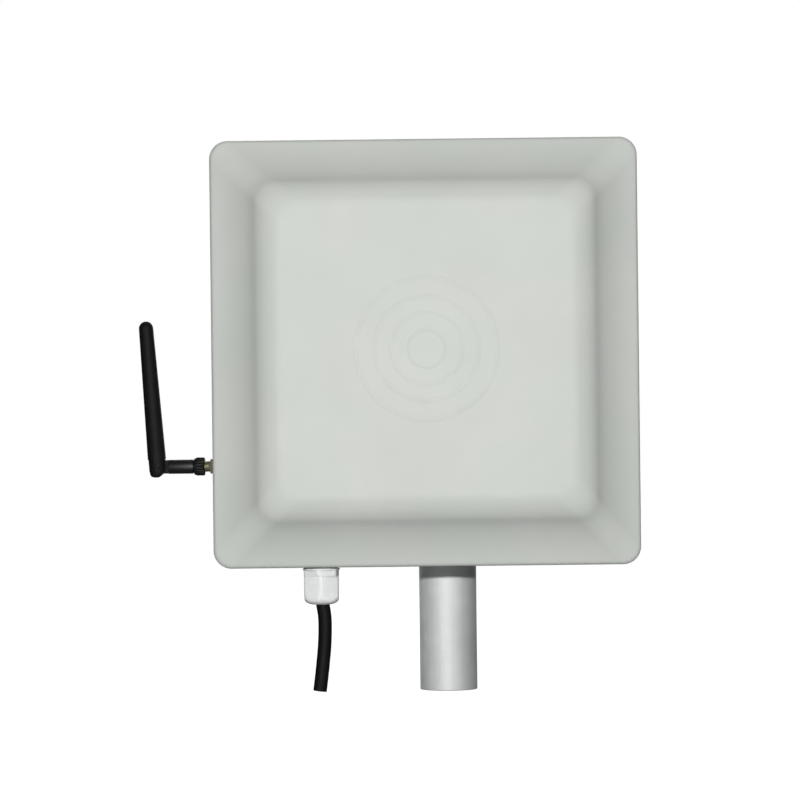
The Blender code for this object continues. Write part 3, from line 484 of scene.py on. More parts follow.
def satin_tube(colour):
    """Drawn aluminium tube: lines along its length, dull blotches, a few scuffs round it, and painted shade
    darkening its +X side.
    """
    n = Nodes("mast_aluminium")
    draw = n.noise(0.35 * MM, 3.0, 0.6, (1, 1, 0.012))
    wide = n.noise(2.2 * MM, 2.0, 0.6, (1, 1, 0.02))
    blotch = n.noise(16 * MM, 5.0, 0.65)
    scuff = n.noise(1.1 * MM, 3.0, 0.7, (0.12, 0.12, 2.0))
    tone = n.tones(n.ramp(blotch, 0.35, 0.7), colour, 0.93, 1.05)
    tone = n.mixed(n.ramp(wide, 0.35, 0.65, 0.0, 0.5), tone, shade(colour, 0.9))
    marks = n.ramp(scuff, 0.66, 0.74, 0.0, 0.5)
    tone = n.mixed(marks, tone, shade(colour, 0.72))
    # Painted shade: the tube darkens from a little left of its axis towards +X, as if that side were turned away
    # from the light.
    across = n.add("SeparateXYZ", {"Vector": n.place}).outputs["X"]
    painted_side_shade = n.ramp(across, -0.35 * MAST_RADIUS, 0.85 * MAST_RADIUS, 0.0, 0.38)
    tone = n.mixed(painted_side_shade, tone, shade(colour, 0.53))
    rough = n.maths("ADD", n.ramp(draw, 0.25, 0.75, 0.64, 0.76), n.ramp(blotch, 0.3, 0.7, -0.03, 0.05))
    n.bumps((draw, 0.012 * MM), (wide, 0.02 * MM), (scuff, 0.006 * MM))
    return n.set(Base_Color=tone, Roughness=rough, Metallic=0.5)


def zinc_plate(name="zinc_plate", colour=(0.58, 0.59, 0.61), roughness=0.42):
    """Zinc on steel: cool cloudy sheen, light rubbed edges, fine scratches and painted shade darkening its
    hollows.
    """
    n = Nodes(name)
    cloud = n.noise(7 * MM, 5.0, 0.65)
    tint = n.noise(18 * MM, 2.0, 0.5)
    scratch = n.noise(0.5 * MM, 2.0, 0.7, (1, 0.25, 0.05))
    tone = n.tones(n.ramp(cloud, 0.3, 0.7), colour, 0.82, 1.08)
    warm = (colour[0] * 1.04, colour[1] * 1.0, colour[2] * 0.9, 1.0)
    tone = n.mixed(n.ramp(tint, 0.45, 0.7, 0.0, 0.55), tone, warm)
    tone = n.mixed(n.maths("MULTIPLY", n.worn_edges(), 0.6), tone, shade(colour, 1.25))
    # Painted shade: hollows darkened towards half the colour.
    tone = n.mixed(n.maths("MULTIPLY", n.hollows(), 0.7), tone, shade(colour, 0.5))
    rough = n.maths("ADD", n.ramp(cloud, 0.25, 0.75, roughness - 0.06, roughness + 0.14),
                    n.ramp(scratch, 0.5, 0.8, 0.0, 0.12))
    n.bumps((cloud, 0.02 * MM), (scratch, 0.008 * MM))
    return n.set(Base_Color=tone, Roughness=rough, Metallic=1.0)


def cast_zinc(colour):
    """Galvanised casting: spangle, grainy skin, rubbed edges and painted shade in its hollows."""
    n = Nodes("cast_saddle")
    inputs = {"Vector": n.place, "Scale": 1 / (3.2 * MM)}
    spangle = n.add("TexVoronoi", inputs).outputs["Color"]
    grey = n.add("SeparateColor", {"Color": spangle}).outputs[0]
    grain = n.noise(0.45 * MM, 4.0, 0.65)
    tone = n.tones(grey, colour, 0.78, 1.15)
    tone = n.mixed(n.maths("MULTIPLY", n.worn_edges(), 0.7), tone, shade(colour, 1.5))
    # Painted shade: hollows darkened.
    tone = n.mixed(n.maths("MULTIPLY", n.hollows(), 0.6), tone, shade(colour, 0.45))
    rough = n.ramp(grain, 0.25, 0.75, 0.42, 0.62)
    n.bumps((grain, 0.06 * MM), (n.noise(2.5 * MM, 2.0), 0.08 * MM))
    return n.set(Base_Color=tone, Roughness=rough, Metallic=0.9)


def black_elastomer(name, colour, roughness, streak=None, shine=0.2):
    """Black moulded rubber or cable jacket, with a soft sheen and rubbed lighter edges."""
    n = Nodes(name)
    fine = n.noise(0.4 * MM, 3.0, 0.6, streak)
    cloud = n.noise(8 * MM, 4.0, 0.6)
    tone = n.tones(n.ramp(cloud, 0.3, 0.7), colour, 0.75, 1.35)
    tone = n.mixed(n.maths("MULTIPLY", n.worn_edges(0.53, 0.64), 0.5), tone, shade(colour, 4.0))
    dust = n.ramp(n.noise(1.6 * MM, 4.0, 0.7), 0.6, 0.8, 0.0, 0.3)
    tone = n.mixed(dust, tone, shade(colour, 3.0))
    rough = n.ramp(fine, 0.2, 0.8, roughness - 0.08, roughness + 0.1)
    n.bumps((fine, 0.02 * MM), (n.noise(3 * MM, 2.0), 0.04 * MM))
    return n.set(Base_Color=tone, Roughness=rough, Specular_IOR_Level=shine)


def nylon(colour):
    """White nylon: slightly waxy, light passes a little way in; painted shade darkens its hollows."""
    n = Nodes("white_nylon")
    cloud = n.noise(6 * MM, 4.0, 0.6)
    fine = n.noise(0.3 * MM, 2.0, 0.6)
    tone = n.tones(n.ramp(cloud, 0.3, 0.7), colour, 0.95, 1.04)
    # Painted shade: hollows darkened towards half the colour.
    painted_hollow_shade = n.maths("MULTIPLY", n.hollows(0.49, 0.4), 0.6)
    tone = n.mixed(painted_hollow_shade, tone, shade(colour, 0.5))
    n.bumps((cloud, 0.05 * MM), (fine, 0.008 * MM))
    rough = n.ramp(fine, 0.2, 0.8, 0.5, 0.62)
    return n.set(Base_Color=tone, Roughness=rough, Specular_IOR_Level=0.1, Subsurface_Weight=0.5,
                 Subsurface_Radius=(1, 1, 1), Subsurface_Scale=3 * MM)


def plated(name, colour, roughness):
    """Bright plating with faint tarnish and painted shade in its threads."""
    n = Nodes(name)
    cloud = n.noise(2.2 * MM, 5.0, 0.65)
    fine = n.noise(0.15 * MM, 3.0, 0.6)
    tone = n.tones(n.ramp(cloud, 0.3, 0.75), colour, 1.05, 0.7)
    # Painted shade: thread grooves and other hollows darkened.
    tone = n.mixed(n.maths("MULTIPLY", n.hollows(0.49, 0.38), 0.8), tone, shade(colour, 0.25))
    n.bumps((cloud, 0.01 * MM), (fine, 0.004 * MM))
    rough = n.ramp(cloud, 0.2, 0.8, roughness - 0.05, roughness + 0.12)
    return n.set(Base_Color=tone, Roughness=rough, Metallic=1.0)


def circuit_board(colour):
    """Green solder mask over faint copper tracks."""
    n = Nodes("circuit_board")
    inputs = {"Vector": n.stretched((1, 1, 1)), "Scale": 1 / (4 * MM), "Mortar Size": 0.06}
    tracks = n.add("TexBrick", inputs).outputs["Fac"]
    tone = n.tones(n.ramp(tracks, 0.0, 1.0, 0.0, 0.7), colour, 1.0, 1.9)
    n.bumps((tracks, 0.03 * MM), (n.noise(0.3 * MM), 0.006 * MM))
    return n.set(Base_Color=tone, Roughness=n.ramp(n.noise(5 * MM), 0.3, 0.7, 0.25, 0.4))


MATERIAL = {
    "radome_plastic": radome_plastic((0.622, 0.642, 0.607)),
    "tray_paint": powder_coat((0.5, 0.51, 0.495)),
    "white_nylon": nylon((0.89, 0.905, 0.9)),
    "black_plastic": moulded_plastic("black_plastic", (0.014, 0.014, 0.015), 0.5, 0.2, 8 * MM),
    "whip_plastic": black_elastomer("whip_elastomer", (0.0035, 0.0035, 0.0037), 0.66),
    "cable_jacket": black_elastomer("cable_jacket", (0.0022, 0.0022, 0.0024), 0.66, (1, 1, 0.06)),
    "arm": black_elastomer("arm_elastomer", (0.0022, 0.0022, 0.0024), 0.5, shine=0.6),
    "collar": black_elastomer("collar_elastomer", (0.004, 0.004, 0.0042), 0.56, shine=0.32),
    "rubber": black_elastomer("sealing_rubber", (0.02, 0.02, 0.02), 0.7),
    "gold_plate": plated("gold_plate", (0.56, 0.55, 0.4), 0.45),
    "brass": plated("brass", (0.62, 0.5, 0.28), 0.32),
    "mast_aluminium": satin_tube((0.83, 0.856, 0.845)),
    "sheet_aluminium": zinc_plate("sheet_aluminium", (0.38, 0.38, 0.385), 0.68),
    "zinc_plate": zinc_plate(),
    "stainless_steel": zinc_plate("stainless_steel", (0.56, 0.555, 0.545), 0.34),
    "cast_saddle": cast_zinc((0.4, 0.41, 0.42)),
    "tinned_steel": zinc_plate("tinned_steel", (0.66, 0.67, 0.68), 0.22),
    "circuit_board": circuit_board((0.02, 0.13, 0.05)),
    "terminal_plastic": moulded_plastic("terminal_plastic", (0.03, 0.26, 0.07), 0.38, 0.1, 8 * MM),
}


def material_of(node):
    return MATERIAL[SLOT[node]]


# ---------------------------------------------------------------- radome and tray

PER_CORNER = 31  # so that each loop of the shells has 128 points
LOOP = 4 * (PER_CORNER + 1)


def square_loop(half, y):
    share = (PANEL_HALF - half) / (PANEL_HALF - FLAT_HALF)
    corner = EDGE_CORNER + (FLAT_CORNER - EDGE_CORNER) * max(0.0, min(1.0, share))
    outline = rounded_rectangle(half, half, corner, PER_CORNER)
    return [PANEL + Vector((u, y, v)) for u, v in outline]


def front_ring(radius, y):
    return [PANEL + Vector((u, y, v)) for u, v in circle(radius, LOOP, start=pi / LOOP)]


def radome_section(offset, steps=(6, 4, 4, 5, 4, 12, 6)):
    """(half width, depth) from the flat front to the skirt: knee, crown, flare and rounded edge."""
    halves = (FLAT_HALF, KNEE_HALF, SHOULDER_HALF, BROW_HALF, CREST_HALF, HOLLOW_HALF, FLARE_HALF, PANEL_HALF)
    slopes = (0, KNEE_SLOPE, SHOULDER_SLOPE, BROW_SLOPE, CREST_SLOPE, HOLLOW_SLOPE, EDGE_SLOPE, pi / 2)
    depth, section = 0, [(FLAT_HALF, 0, 0)]
    for near, far, first, last, count in zip(halves, halves[1:], slopes, slopes[1:], steps):
        radius = (far - near) / (sin(last) - sin(first))
        for step in range(1, count + 1):
            slope = first + (last - first) * step / count
            half = near + radius * (sin(slope) - sin(first))
            section.append((half, depth + radius * (cos(first) - cos(slope)), slope))
        depth = section[-1][1]
    return [(half - offset * sin(a), drop + offset * cos(a)) for half, drop, a in section]


def front_relief():
    """Loops of the plain raised rings and the small dimple in the middle of the flat front."""
    loops = [front_ring(0.8 * MM, FRONT_Y + 0.25 * MM), front_ring(1.8 * MM, FRONT_Y + 0.1 * MM)]
    loops.append(front_ring(2.6 * MM, FRONT_Y))
    for radius, width in ((10 * MM, 2.2 * MM), (19 * MM, 3.4 * MM), (28 * MM, 3.4 * MM), (38 * MM, 3.8 * MM)):
        for step in range(13):
            reach = step / 6 - 1
            height = RIB_HEIGHT * 0.8 * (0.5 + 0.5 * cos(pi * reach))
            loops.append(front_ring(radius + reach * width / 2, FRONT_Y - height))
    return loops


def build_radome():
    outer = [square_loop(half, FRONT_Y + depth) for half, depth in radome_section(0)]
    inside = reversed(radome_section(SHELL, (2, 2, 2, 2, 2, 5, 3)))
    inner = [square_loop(half, FRONT_Y + depth) for half, depth in inside]
    lip = 0.5 * MM
    skirt = [
        square_loop(PANEL_HALF, SKIRT_Y - lip), square_loop(PANEL_HALF - lip * 0.3, SKIRT_Y - lip * 0.3),
        square_loop(PANEL_HALF - lip, SKIRT_Y), square_loop(PANEL_HALF - SHELL, SKIRT_Y),
    ]
    flat = [front_ring(44 * MM, FRONT_Y), square_loop(FLAT_HALF - 8 * MM, FRONT_Y)]
    bm = skin(front_relief() + flat + outer + skirt + inner)
    draw("radome", "radome_shell", bm, 30)


def cover_places():
    pitches = (-COVER_PITCH, 0, COVER_PITCH)
    return [(u, v) for u in pitches for v in pitches if (u, v) != (0, 0)]


def draw(node, name, bm, smooth=40):
    """One piece in its node's material, shown in the node's place."""
    return show(new_piece(name, bm, material_of(node), smooth), node)


def rod_along(axis, centre, radius, near, far, count=48):
    """A plain rod along X, Y or Z (0, 1, 2) between two levels."""
    others = [index for index in range(3) if index != axis]
    loops = []
    for level in (near, far):
        loop = []
        for u, v in circle(radius, count):
            point = Vector(centre)
            point[others[0]] += u
            point[others[1]] += v
            point[axis] = level
            loop.append(point)
        loops.append(loop)
    return skin(loops)


def build_tray():
    shoulder = SKIRT_Y + GAP
    rim_half = 114.6 * MM
    floor = BACK_Y - 3 * MM
    round_radius = 2.2 * MM
    back = [square_loop(TRAY_BACK_HALF - 10.5 * MM, BACK_Y - 0.7 * MM)]
    back.append(square_loop(TRAY_BACK_HALF - 9.8 * MM, BACK_Y - 0.1 * MM))
    back.append(square_loop(TRAY_BACK_HALF - 9.4 * MM, BACK_Y))
    for half, depth in arc((TRAY_BACK_HALF - round_radius, round_radius), round_radius, -pi / 2, 0, 6):
        back.append(square_loop(half, BACK_Y - depth))
    loops = back + [
        square_loop(TRAY_HALF - 0.2 * MM, shoulder + 0.4 * MM), square_loop(TRAY_HALF - 0.4 * MM, shoulder),
        square_loop(rim_half, shoulder), square_loop(rim_half, RIM_Y), square_loop(CAVITY_HALF, RIM_Y),
        square_loop(CAVITY_HALF, floor),
    ]
    tray = new_piece("tray_shell", skin(loops), material_of("rear_tray"), 30)
    jack_x = PANEL.x - 115.9 * MM
    gland = middle("gland_body")
    seats = merged(
        rod_along(0, WHIP_AXIS, 6.5 * MM, jack_x, jack_x + 3 * MM),
        rod_along(2, gland, 9.4 * MM, PANEL.z - PANEL_HALF, PANEL.z - PANEL_HALF + 5 * MM),
    )
    carved(tray, seats, "UNION")
    holes = [rod_along(1, PANEL + Vector((u, 0, v)), 4.3 * MM, BACK_Y - 2.9 * MM, BACK_Y + 5 * MM)
             for u, v in cover_places()]
    holes.append(rod_along(0, WHIP_AXIS, 3.5 * MM, jack_x - 5 * MM, jack_x + 12 * MM))
    holes.append(rod_along(2, gland, 7.9 * MM, PANEL.z - PANEL_HALF - 5 * MM, PANEL.z - PANEL_HALF + 12 * MM))
    carved(tray, merged(*holes), smooth=30)
    show(tray, "rear_tray")


def pan_head(radius, head, shank, length, recess):
    """A pan-head screw along +Z, its head's inner face at z 0, with a cross recess."""
    dome = [(0.02 * radius, head), (0.55 * radius, head * 0.97), (0.82 * radius, head * 0.8)]
    dome += [(0.96 * radius, head * 0.5), (radius, head * 0.16), (radius * 0.97, 0), (shank, 0)]
    dome += [(shank, -length), (0.02 * radius, -length)]
    screw = new_piece("screw", turned(dome, 48), MATERIAL["stainless_steel"])
    arms = []
    for turn in (0, pi / 2):
        half, wide, deep = recess, recess * 0.22, head * 0.35
        corners = [(-half, -wide), (half, -wide), (half, wide), (-half, wide)]
        low = [Vector((u * 0.35, v * 0.9, deep)) for u, v in corners]
        high = [Vector((u, v, head + MM)) for u, v in corners]
        arms.append(moved(skin([low, high]), Matrix.Rotation(turn, 4, "Z")))
    for arm in arms:
        carved(screw, arm)
    return rounded_edges(screw, 0.06 * MM, 1, 50)


def screws(prefix, nodes, places, template, material):
    """Copies of one screw, each turned a little differently about its own axis."""
    for index, (node, place) in enumerate(zip(nodes, places)):
        mesh = template.data.copy()
        mesh.materials.clear()
        mesh.materials.append(material)
        piece = linked(f"{prefix}_{index + 1}", mesh)
        turn = Matrix.Rotation(-pi / 2, 4, "X") @ Matrix.Rotation(0.7 + 1.3 * index, 4, "Z")
        piece.matrix_world = Matrix.Translation(place) @ turn
        show(piece, node)
    bpy.data.objects.remove(template)


def build_panel_screws():
    head_y = BACK_Y - 2.9 * MM + 0.05 * MM
    nodes = [f"cover_screw_{number}" for number in range(1, 9)]
    places = [PANEL + Vector((u, head_y, v)) for u, v in cover_places()]
    screws("cover_screw_head", nodes, places, pan_head(3.5 * MM, 2.3 * MM, 1.5 * MM, 12 * MM, 1.9 * MM),
           MATERIAL["stainless_steel"])
    nodes = [f"bracket_screw_{number}" for number in range(1, 5)]
    places = []
    for node in nodes:
        places.append(Vector((middle(node).x, BASE_LOW.y + SHEET + 0.1 * MM, middle(node).z)))
    screws("bracket_screw_head", nodes, places, pan_head(4.8 * MM, 3.3 * MM, 2.5 * MM, 9 * MM, 2.6 * MM),
           MATERIAL["zinc_plate"])


# ---------------------------------------------------------------- fasteners


def hexagon_solid(across_flats, thick, bore=0.0, count=72):
    """A nut or bolt head from z 0 to thick, its corners chamfered at 30 degrees at both ends."""
    face = across_flats / 2 * 0.97
    slope = tan(radians(30))

    def drop(angle):
        return max(0.0, hex_radius(angle, across_flats) - face) * slope

    angles = [2 * pi * step / count for step in range(count)]

    def edge(height, sign):
        return [Vector((hex_radius(a, across_flats) * cos(a), hex_radius(a, across_flats) * sin(a),
                        height + sign * drop(a))) for a in angles]

    loops = [round_loop(lambda a: face, 0, count), edge(0, 1), edge(thick, -1)]
    loops.append(round_loop(lambda a: face, thick, count))
    if not bore:
        return skin(loops)
    lead = 0.5 * MM
    loops.append(round_loop(lambda a: bore + lead, thick, count))
    loops += [round_loop(lambda a: bore, height, count) for height in (thick - lead, lead)]
    loops.append(round_loop(lambda a: bore + lead, 0, count))
    return skin(loops, ring=True)


def thread_radius(radius, pitch, start, end, depth=0.06):
    """A radius function with a helical groove between two distances along a rod."""

    def radius_at(distance, angle):
        inside = min(1.0, max(0.0, (distance - start) / pitch), max(0.0, (end - distance) / pitch))
        wave = 0.5 + 0.5 * cos(2 * pi * distance / pitch - angle)
        return radius * (1 - 2 * depth * wave * max(0.0, inside))

    return radius_at


def threaded_loops(thread, radius, low, high, rows, tip, count):
    """Loops up a thread, chamfered at its upper end."""
    loops = []
    for row in range(rows + 1):
        height = low + (high - low) * row / rows
        limit = radius - max(0.0, height - (high - tip))
        loops.append(round_loop(lambda a: min(thread(height, a), limit), height, count))
    return loops


def threaded_rod(radius, pitch, length, tip=0.6 * MM):
    """A rod along +Z from 0 to length, threaded all along, with a chamfered end."""
    thread = thread_radius(radius, pitch, 0, length + pitch)
    return skin(threaded_loops(thread, radius, 0, length, int(length / pitch * 5), tip, 24))


def build_bolts():
    """The tilt pivot and the tilt lock: a head and washer outside the ear, a nut and thread inside."""
    outer = BASE_HIGH.x + GAP
    inner = CLAMP_HIGH.x - SHEET - GAP
    for name, drop, flats, radius, head, pitch in (
        ("pivot", 0.0, 13 * MM, 4 * MM, 5.3 * MM, 1.25 * MM),
        ("tilt_lock", LOCK_DROP, 10 * MM, 3 * MM, 4 * MM, 1.0 * MM),
    ):
        place = Vector((0, PIVOT.y, PIVOT.z - drop))
        washer = 1.2 * MM
        rim = 0.2 * MM
        ring = [(0.1 * MM, 0), (radius * 1.9, 0), (radius * 2, rim), (radius * 2, washer - rim)]
        ring += [(radius * 1.9, washer), (0.1 * MM, washer)]
        disc = moved(turned(ring, 48), at(place + Vector((outer, 0, 0)), pi / 2, "Y"))
        top = hexagon_solid(flats, head - washer)
        top = moved(top, at(place + Vector((outer + washer, 0, 0)), pi / 2, "Y"))
        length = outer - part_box(f"{name}_bolt")[0].x
        shank = threaded_rod(radius, pitch, length)
        shank = moved(shank, at(place + Vector((outer + rim, 0, 0)), -pi / 2, "Y"))
        bolt = new_piece(f"{name}_bolt_head", disc, material_of(f"{name}_bolt"))
        carved(bolt, top, "UNION")
        carved(bolt, shank, "UNION", 30)
        show(bolt, f"{name}_bolt")
        low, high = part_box(f"{name}_nut")
        nut = hexagon_solid(flats, high.x - low.x, radius + 0.1 * MM)
        nut = moved(nut, at(place + Vector((inner, 0, 0)), -pi / 2, "Y"))
        draw(f"{name}_nut", f"{name}_hex_nut", nut, 30)


# ---------------------------------------------------------------- bracket


def folded(bm, corner_x, y_outer, toward, centre_z):
    """Bend a flat plate round the corner: x runs to the corner and then down the ear."""
    start = corner_x - BEND
    length = BEND * pi / 2
    for step in range(9):
        cut = start + length * step / 8
        geometry = bm.verts[:] + bm.edges[:] + bm.faces[:]
        bmesh.ops.bisect_plane(bm, geom=geometry, plane_co=(cut, 0, 0), plane_no=(1, 0, 0), dist=0.0001 * MM)
    for vert in bm.verts:
        u, v, w = vert.co
        run = u - start
        if run <= 0:
            x, y = u, w
        elif run < length:
            turn = run / BEND
            x, y = start + (BEND - w) * sin(turn), BEND - (BEND - w) * cos(turn)
        else:
            x, y = corner_x - w, BEND + run - length
        vert.co = (x, y_outer + toward * y, centre_z + v)
    return bm


def arc_slot(pivot, radius, half_width, span):
    down = -pi / 2
    first, last = down - span, down + span
    outline = arc(pivot, radius + half_width, first, last, 16)
    end = (pivot[0] + radius * cos(last), pivot[1] + radius * sin(last))
    outline += arc(end, half_width, last, last + pi, 8)[1:-1]
    outline += arc(pivot, radius - half_width, last, first, 16)
    end = (pivot[0] + radius * cos(first), pivot[1] + radius * sin(first))
    outline += arc(end, half_width, first + pi, first + 2 * pi, 8)[1:-1]
    return outline


def ear_places(corner_x, y_outer):
    """Where the pivot lies on the flat plate, before the ear is bent."""
    return corner_x - BEND + BEND * pi / 2 + abs(PIVOT.y - y_outer) - BEND


def build_clamp_bracket():
    right, outer = CLAMP_HIGH.x, CLAMP_HIGH.y
    left = CLAMP_LOW.x
    half = (CLAMP_HIGH.z - CLAMP_LOW.z) / 2
    pivot_u = ear_places(right, outer)
    notch = right - BEND - MM
    end = pivot_u + 11 * MM
    outline = filleted([
        (left, -half, 5 * MM), (notch, -half, 3 * MM), (notch, -LOCK_DROP - 11 * MM, 1.5 * MM),
        (end, -LOCK_DROP - 11 * MM, 10.5 * MM), (end, 11 * MM, 10.5 * MM), (notch, 11 * MM, 1.5 * MM),
        (notch, half, 3 * MM), (left, half, 5 * MM),
    ])
    holes = [circle(ROD + 0.4 * MM, 32, (side * U_BOLT_BEND, rise)) for side in (-1, 1)
             for rise in (-U_BOLT_RISE, U_BOLT_RISE)]
    holes.append(circle(4.3 * MM, 40, (pivot_u, 0)))
    holes.append(circle(3.3 * MM, 32, (pivot_u, -LOCK_DROP)))
    bm = folded(sheet(outline, holes, SHEET, 0.45 * MM), right, outer, -1, PIVOT.z)
    draw("clamp_bracket", "clamp_plate", bm, 32)


def build_reader_bracket():
    right, outer = BASE_HIGH.x, BASE_LOW.y
    left = BASE_LOW.x
    half = (BASE_HIGH.z - BASE_LOW.z) / 2
    pivot_u = ear_places(right, outer)
    notch = right - BEND - MM
    end = pivot_u + 13 * MM
    outline = filleted([
        (left, -half, 6 * MM), (notch, -half, 3 * MM), (notch, -41 * MM, 1.5 * MM),
        (notch + 9 * MM, -LOCK_DROP - 13 * MM, 8 * MM),
        (end, -LOCK_DROP - 13 * MM, 12.5 * MM), (end, 13 * MM, 12.5 * MM), (notch + 12 * MM, 29 * MM, 8 * MM),
        (notch, 31 * MM, 1.5 * MM), (notch, half, 3 * MM), (left, half, 6 * MM),
    ])
    holes = [circle(2.9 * MM, 28, (PANEL.x + u, v)) for u in (-BRACKET_PITCH, BRACKET_PITCH)
             for v in (-BRACKET_PITCH, BRACKET_PITCH)]
    holes.append(circle(4.3 * MM, 40, (pivot_u, 0)))
    holes.append(arc_slot((pivot_u, 0), LOCK_DROP, 3.4 * MM, radians(21.5)))
    bm = folded(sheet(outline, holes, SHEET, 0.45 * MM), right, outer, 1, PIVOT.z)
    draw("reader_bracket", "reader_plate", bm, 32)


def build_saddles():
    """V blocks with toothed flanks, bored for the U-bolt's legs."""
    for name in ("upper", "lower"):
        low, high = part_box(f"saddle_{name}")
        notch = (MAST_RADIUS + GAP) / cos(pi / 4)
        mouth = notch + high.y
        teeth = 8
        flank = []
        for tooth in range(teeth + 1):
            share = tooth / teeth
            flank.append((mouth * (1 - share), high.y + (-notch - high.y) * share))
            if tooth < teeth:
                share += 0.5 / teeth
                flank.append((mouth * (1 - share) + 0.5 * MM, high.y + (-notch - high.y) * share - 0.5 * MM))
        outline = filleted([(low.x, low.y, 1.5 * MM), (high.x, low.y, 1.5 * MM), (high.x, high.y, 2.5 * MM)])
        mirrored = [(-u, v) for u, v in reversed(flank[:-1])]
        outline += [(mouth + MM, high.y)] + flank + mirrored + [(-mouth - MM, high.y)]
        outline += filleted([(high.x, high.y, 0), (low.x, high.y, 2.5 * MM), (low.x, low.y, 0)])[1:-1]
        bm = sheet(outline, [], high.z - low.z, 0.5 * MM)
        bmesh.ops.translate(bm, verts=bm.verts, vec=(0, 0, low.z))
        block = new_piece(f"saddle_block_{name}", bm, material_of(f"saddle_{name}"), 35)
        centre = (low.z + high.z) / 2
        bore, near, far = ROD + 0.4 * MM, low.y - MM, high.y + MM
        legs = [(side * U_BOLT_BEND, 0, centre) for side in (-1, 1)]
        legs = merged(*[rod_along(1, leg, bore, near, far, 32) for leg in legs])
        carved(block, legs, smooth=35)
        show(block, f"saddle_{name}")


def build_u_bolts():
    for name, numbers in (("upper", (1, 2)), ("lower", (3, 4))):
        low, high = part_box(f"u_bolt_{name}")
        height = (low.z + high.z) / 2
        leg = -low.y
        straight = int(leg / (0.2 * MM))
        path = [(-U_BOLT_BEND, low.y + leg * step / straight, height) for step in range(straight)]
        path += [(u, v, height) for u, v in arc((0, 0), U_BOLT_BEND, pi, 0, 48)]
        path += [(U_BOLT_BEND, -leg * step / straight, height) for step in range(1, straight + 1)]
        total = 2 * leg + pi * U_BOLT_BEND
        thread, pitch, tip = 17 * MM, 1.0 * MM, 0.7 * MM
        near = thread_radius(ROD, pitch, -pitch, thread)
        far = thread_radius(ROD, pitch, total - thread, total + pitch)

        def radius_at(distance, angle):
            end = min(distance, total - distance)
            radius = near(distance, angle) if distance < total / 2 else far(distance, angle)
            return min(radius, ROD - max(0.0, tip - end))

        bolt = new_piece(f"u_bolt_rod_{name}", swept(path, radius_at, 20), material_of(f"u_bolt_{name}"), 35)
        show(bolt, f"u_bolt_{name}")
        for number, side in zip(numbers, (-1, 1)):
            node = f"u_bolt_nut_{number}"
            low_nut, high_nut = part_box(node)
            washer = 1.2 * MM
            place = at((side * U_BOLT_BEND, high_nut.y, height), pi / 2, "X")
            bore, flange, rim = ROD + 0.2 * MM, 5.75 * MM, 0.2 * MM
            ring = [(bore, 0), (5.6 * MM, 0), (flange, rim), (flange, washer - rim)]
            ring += [(5.6 * MM, washer), (bore, washer)]
            flange = moved(turned(ring, 48, ring=True), place)
            body = hexagon_solid(10 * MM, high_nut.y - low_nut.y - washer, bore)
            body = moved(body, place @ at((0, 0, washer - 0.01 * MM), 0.3 * number))
            nut = new_piece(f"u_bolt_hex_nut_{number}", flange, material_of(node), 30)
            carved(nut, body, "UNION", 30)
            show(nut, node)


# ---------------------------------------------------------------- mast


def build_mast():
    top, inner = MAST_HIGH.z, MAST_RADIUS - MAST_WALL
    edge = 0.4 * MM
    tube = [(MAST_RADIUS - edge, 0), (MAST_RADIUS, edge), (MAST_RADIUS, top - edge)]
    tube += [(MAST_RADIUS - edge, top), (inner + edge, top)]
    tube += [(inner, top - edge), (inner, edge), (inner + edge, 0)]
    draw("mast_tube", "mast_pole", turned(tube, 128, ring=True))
    fit, hollow, core = inner - GAP, inner - 2 * MM, 0.2 * MM
    plug = [(core, 0), (fit - edge, 0), (fit, edge), (fit, 14 * MM), (hollow, 14 * MM), (hollow, 4 * MM)]
    plug.append((core, 4 * MM))
    draw("foot_plug", "foot_insert", turned(plug, 96))
    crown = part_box("mast_cap")[1].z - top
    round_radius = 2.2 * MM
    rim = arc((MAST_RADIUS - round_radius, crown - round_radius), round_radius, pi / 2, 0, 8)
    dome = [(core, crown)] + rim + [(MAST_RADIUS, 0.5 * MM), (MAST_RADIUS - 0.2 * MM, GAP)]
    dome += [(fit, GAP), (fit, -12 * MM), (hollow, -12 * MM), (hollow, -2 * MM), (core, -2 * MM)]
    cap = moved(turned(dome, 96), at((0, 0, top)))
    draw("mast_cap", "mast_top_cap", cap)


# ---------------------------------------------------------------- whip aerial


def laid_along(place):
    """Turned about Z, then laid along -X from a place."""
    return at(place, -pi / 2, "Y")


def build_jack():
    low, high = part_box("sma_jack")
    start = Vector((high.x, WHIP_AXIS.y, WHIP_AXIS.z))
    length = high.x - low.x
    pin, flange_near, flange_far = 5 * MM, 5 * MM, 6.8 * MM
    radius, pitch = 3.17 * MM, 0.7 * MM
    thread = thread_radius(radius, pitch, flange_far + 3 * MM, length + pitch, 0.07)
    profile = [(0.1 * MM, 0), (1.6 * MM, 0), (1.6 * MM, pin), (4.6 * MM, flange_near), (4.6 * MM, flange_far)]
    loops = [round_loop(lambda a: r, h, 36) for r, h in profile]
    rows = int((length - flange_far) / pitch * 6)
    loops += threaded_loops(thread, radius, flange_far, length, rows, 0.4 * MM, 36)
    for r, depth in mm((2.1, 0), (2.1, 6), (0.6, 6), (0.6, 2), (0.1, 2)):
        h = length - depth
        loops.append(round_loop(lambda a: r, h, 36))
    draw("sma_jack", "jack", moved(skin(loops), laid_along(start)), 30)

    low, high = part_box("sma_nut")
    place = laid_along(Vector((high.x, WHIP_AXIS.y, WHIP_AXIS.z)))
    nut = hexagon_solid(8 * MM, high.x - low.x, radius + 0.15 * MM)
    turn = Matrix.Rotation(radians(30), 4, "Z")
    draw("sma_nut", "jack_nut", moved(nut, place @ turn), 30)


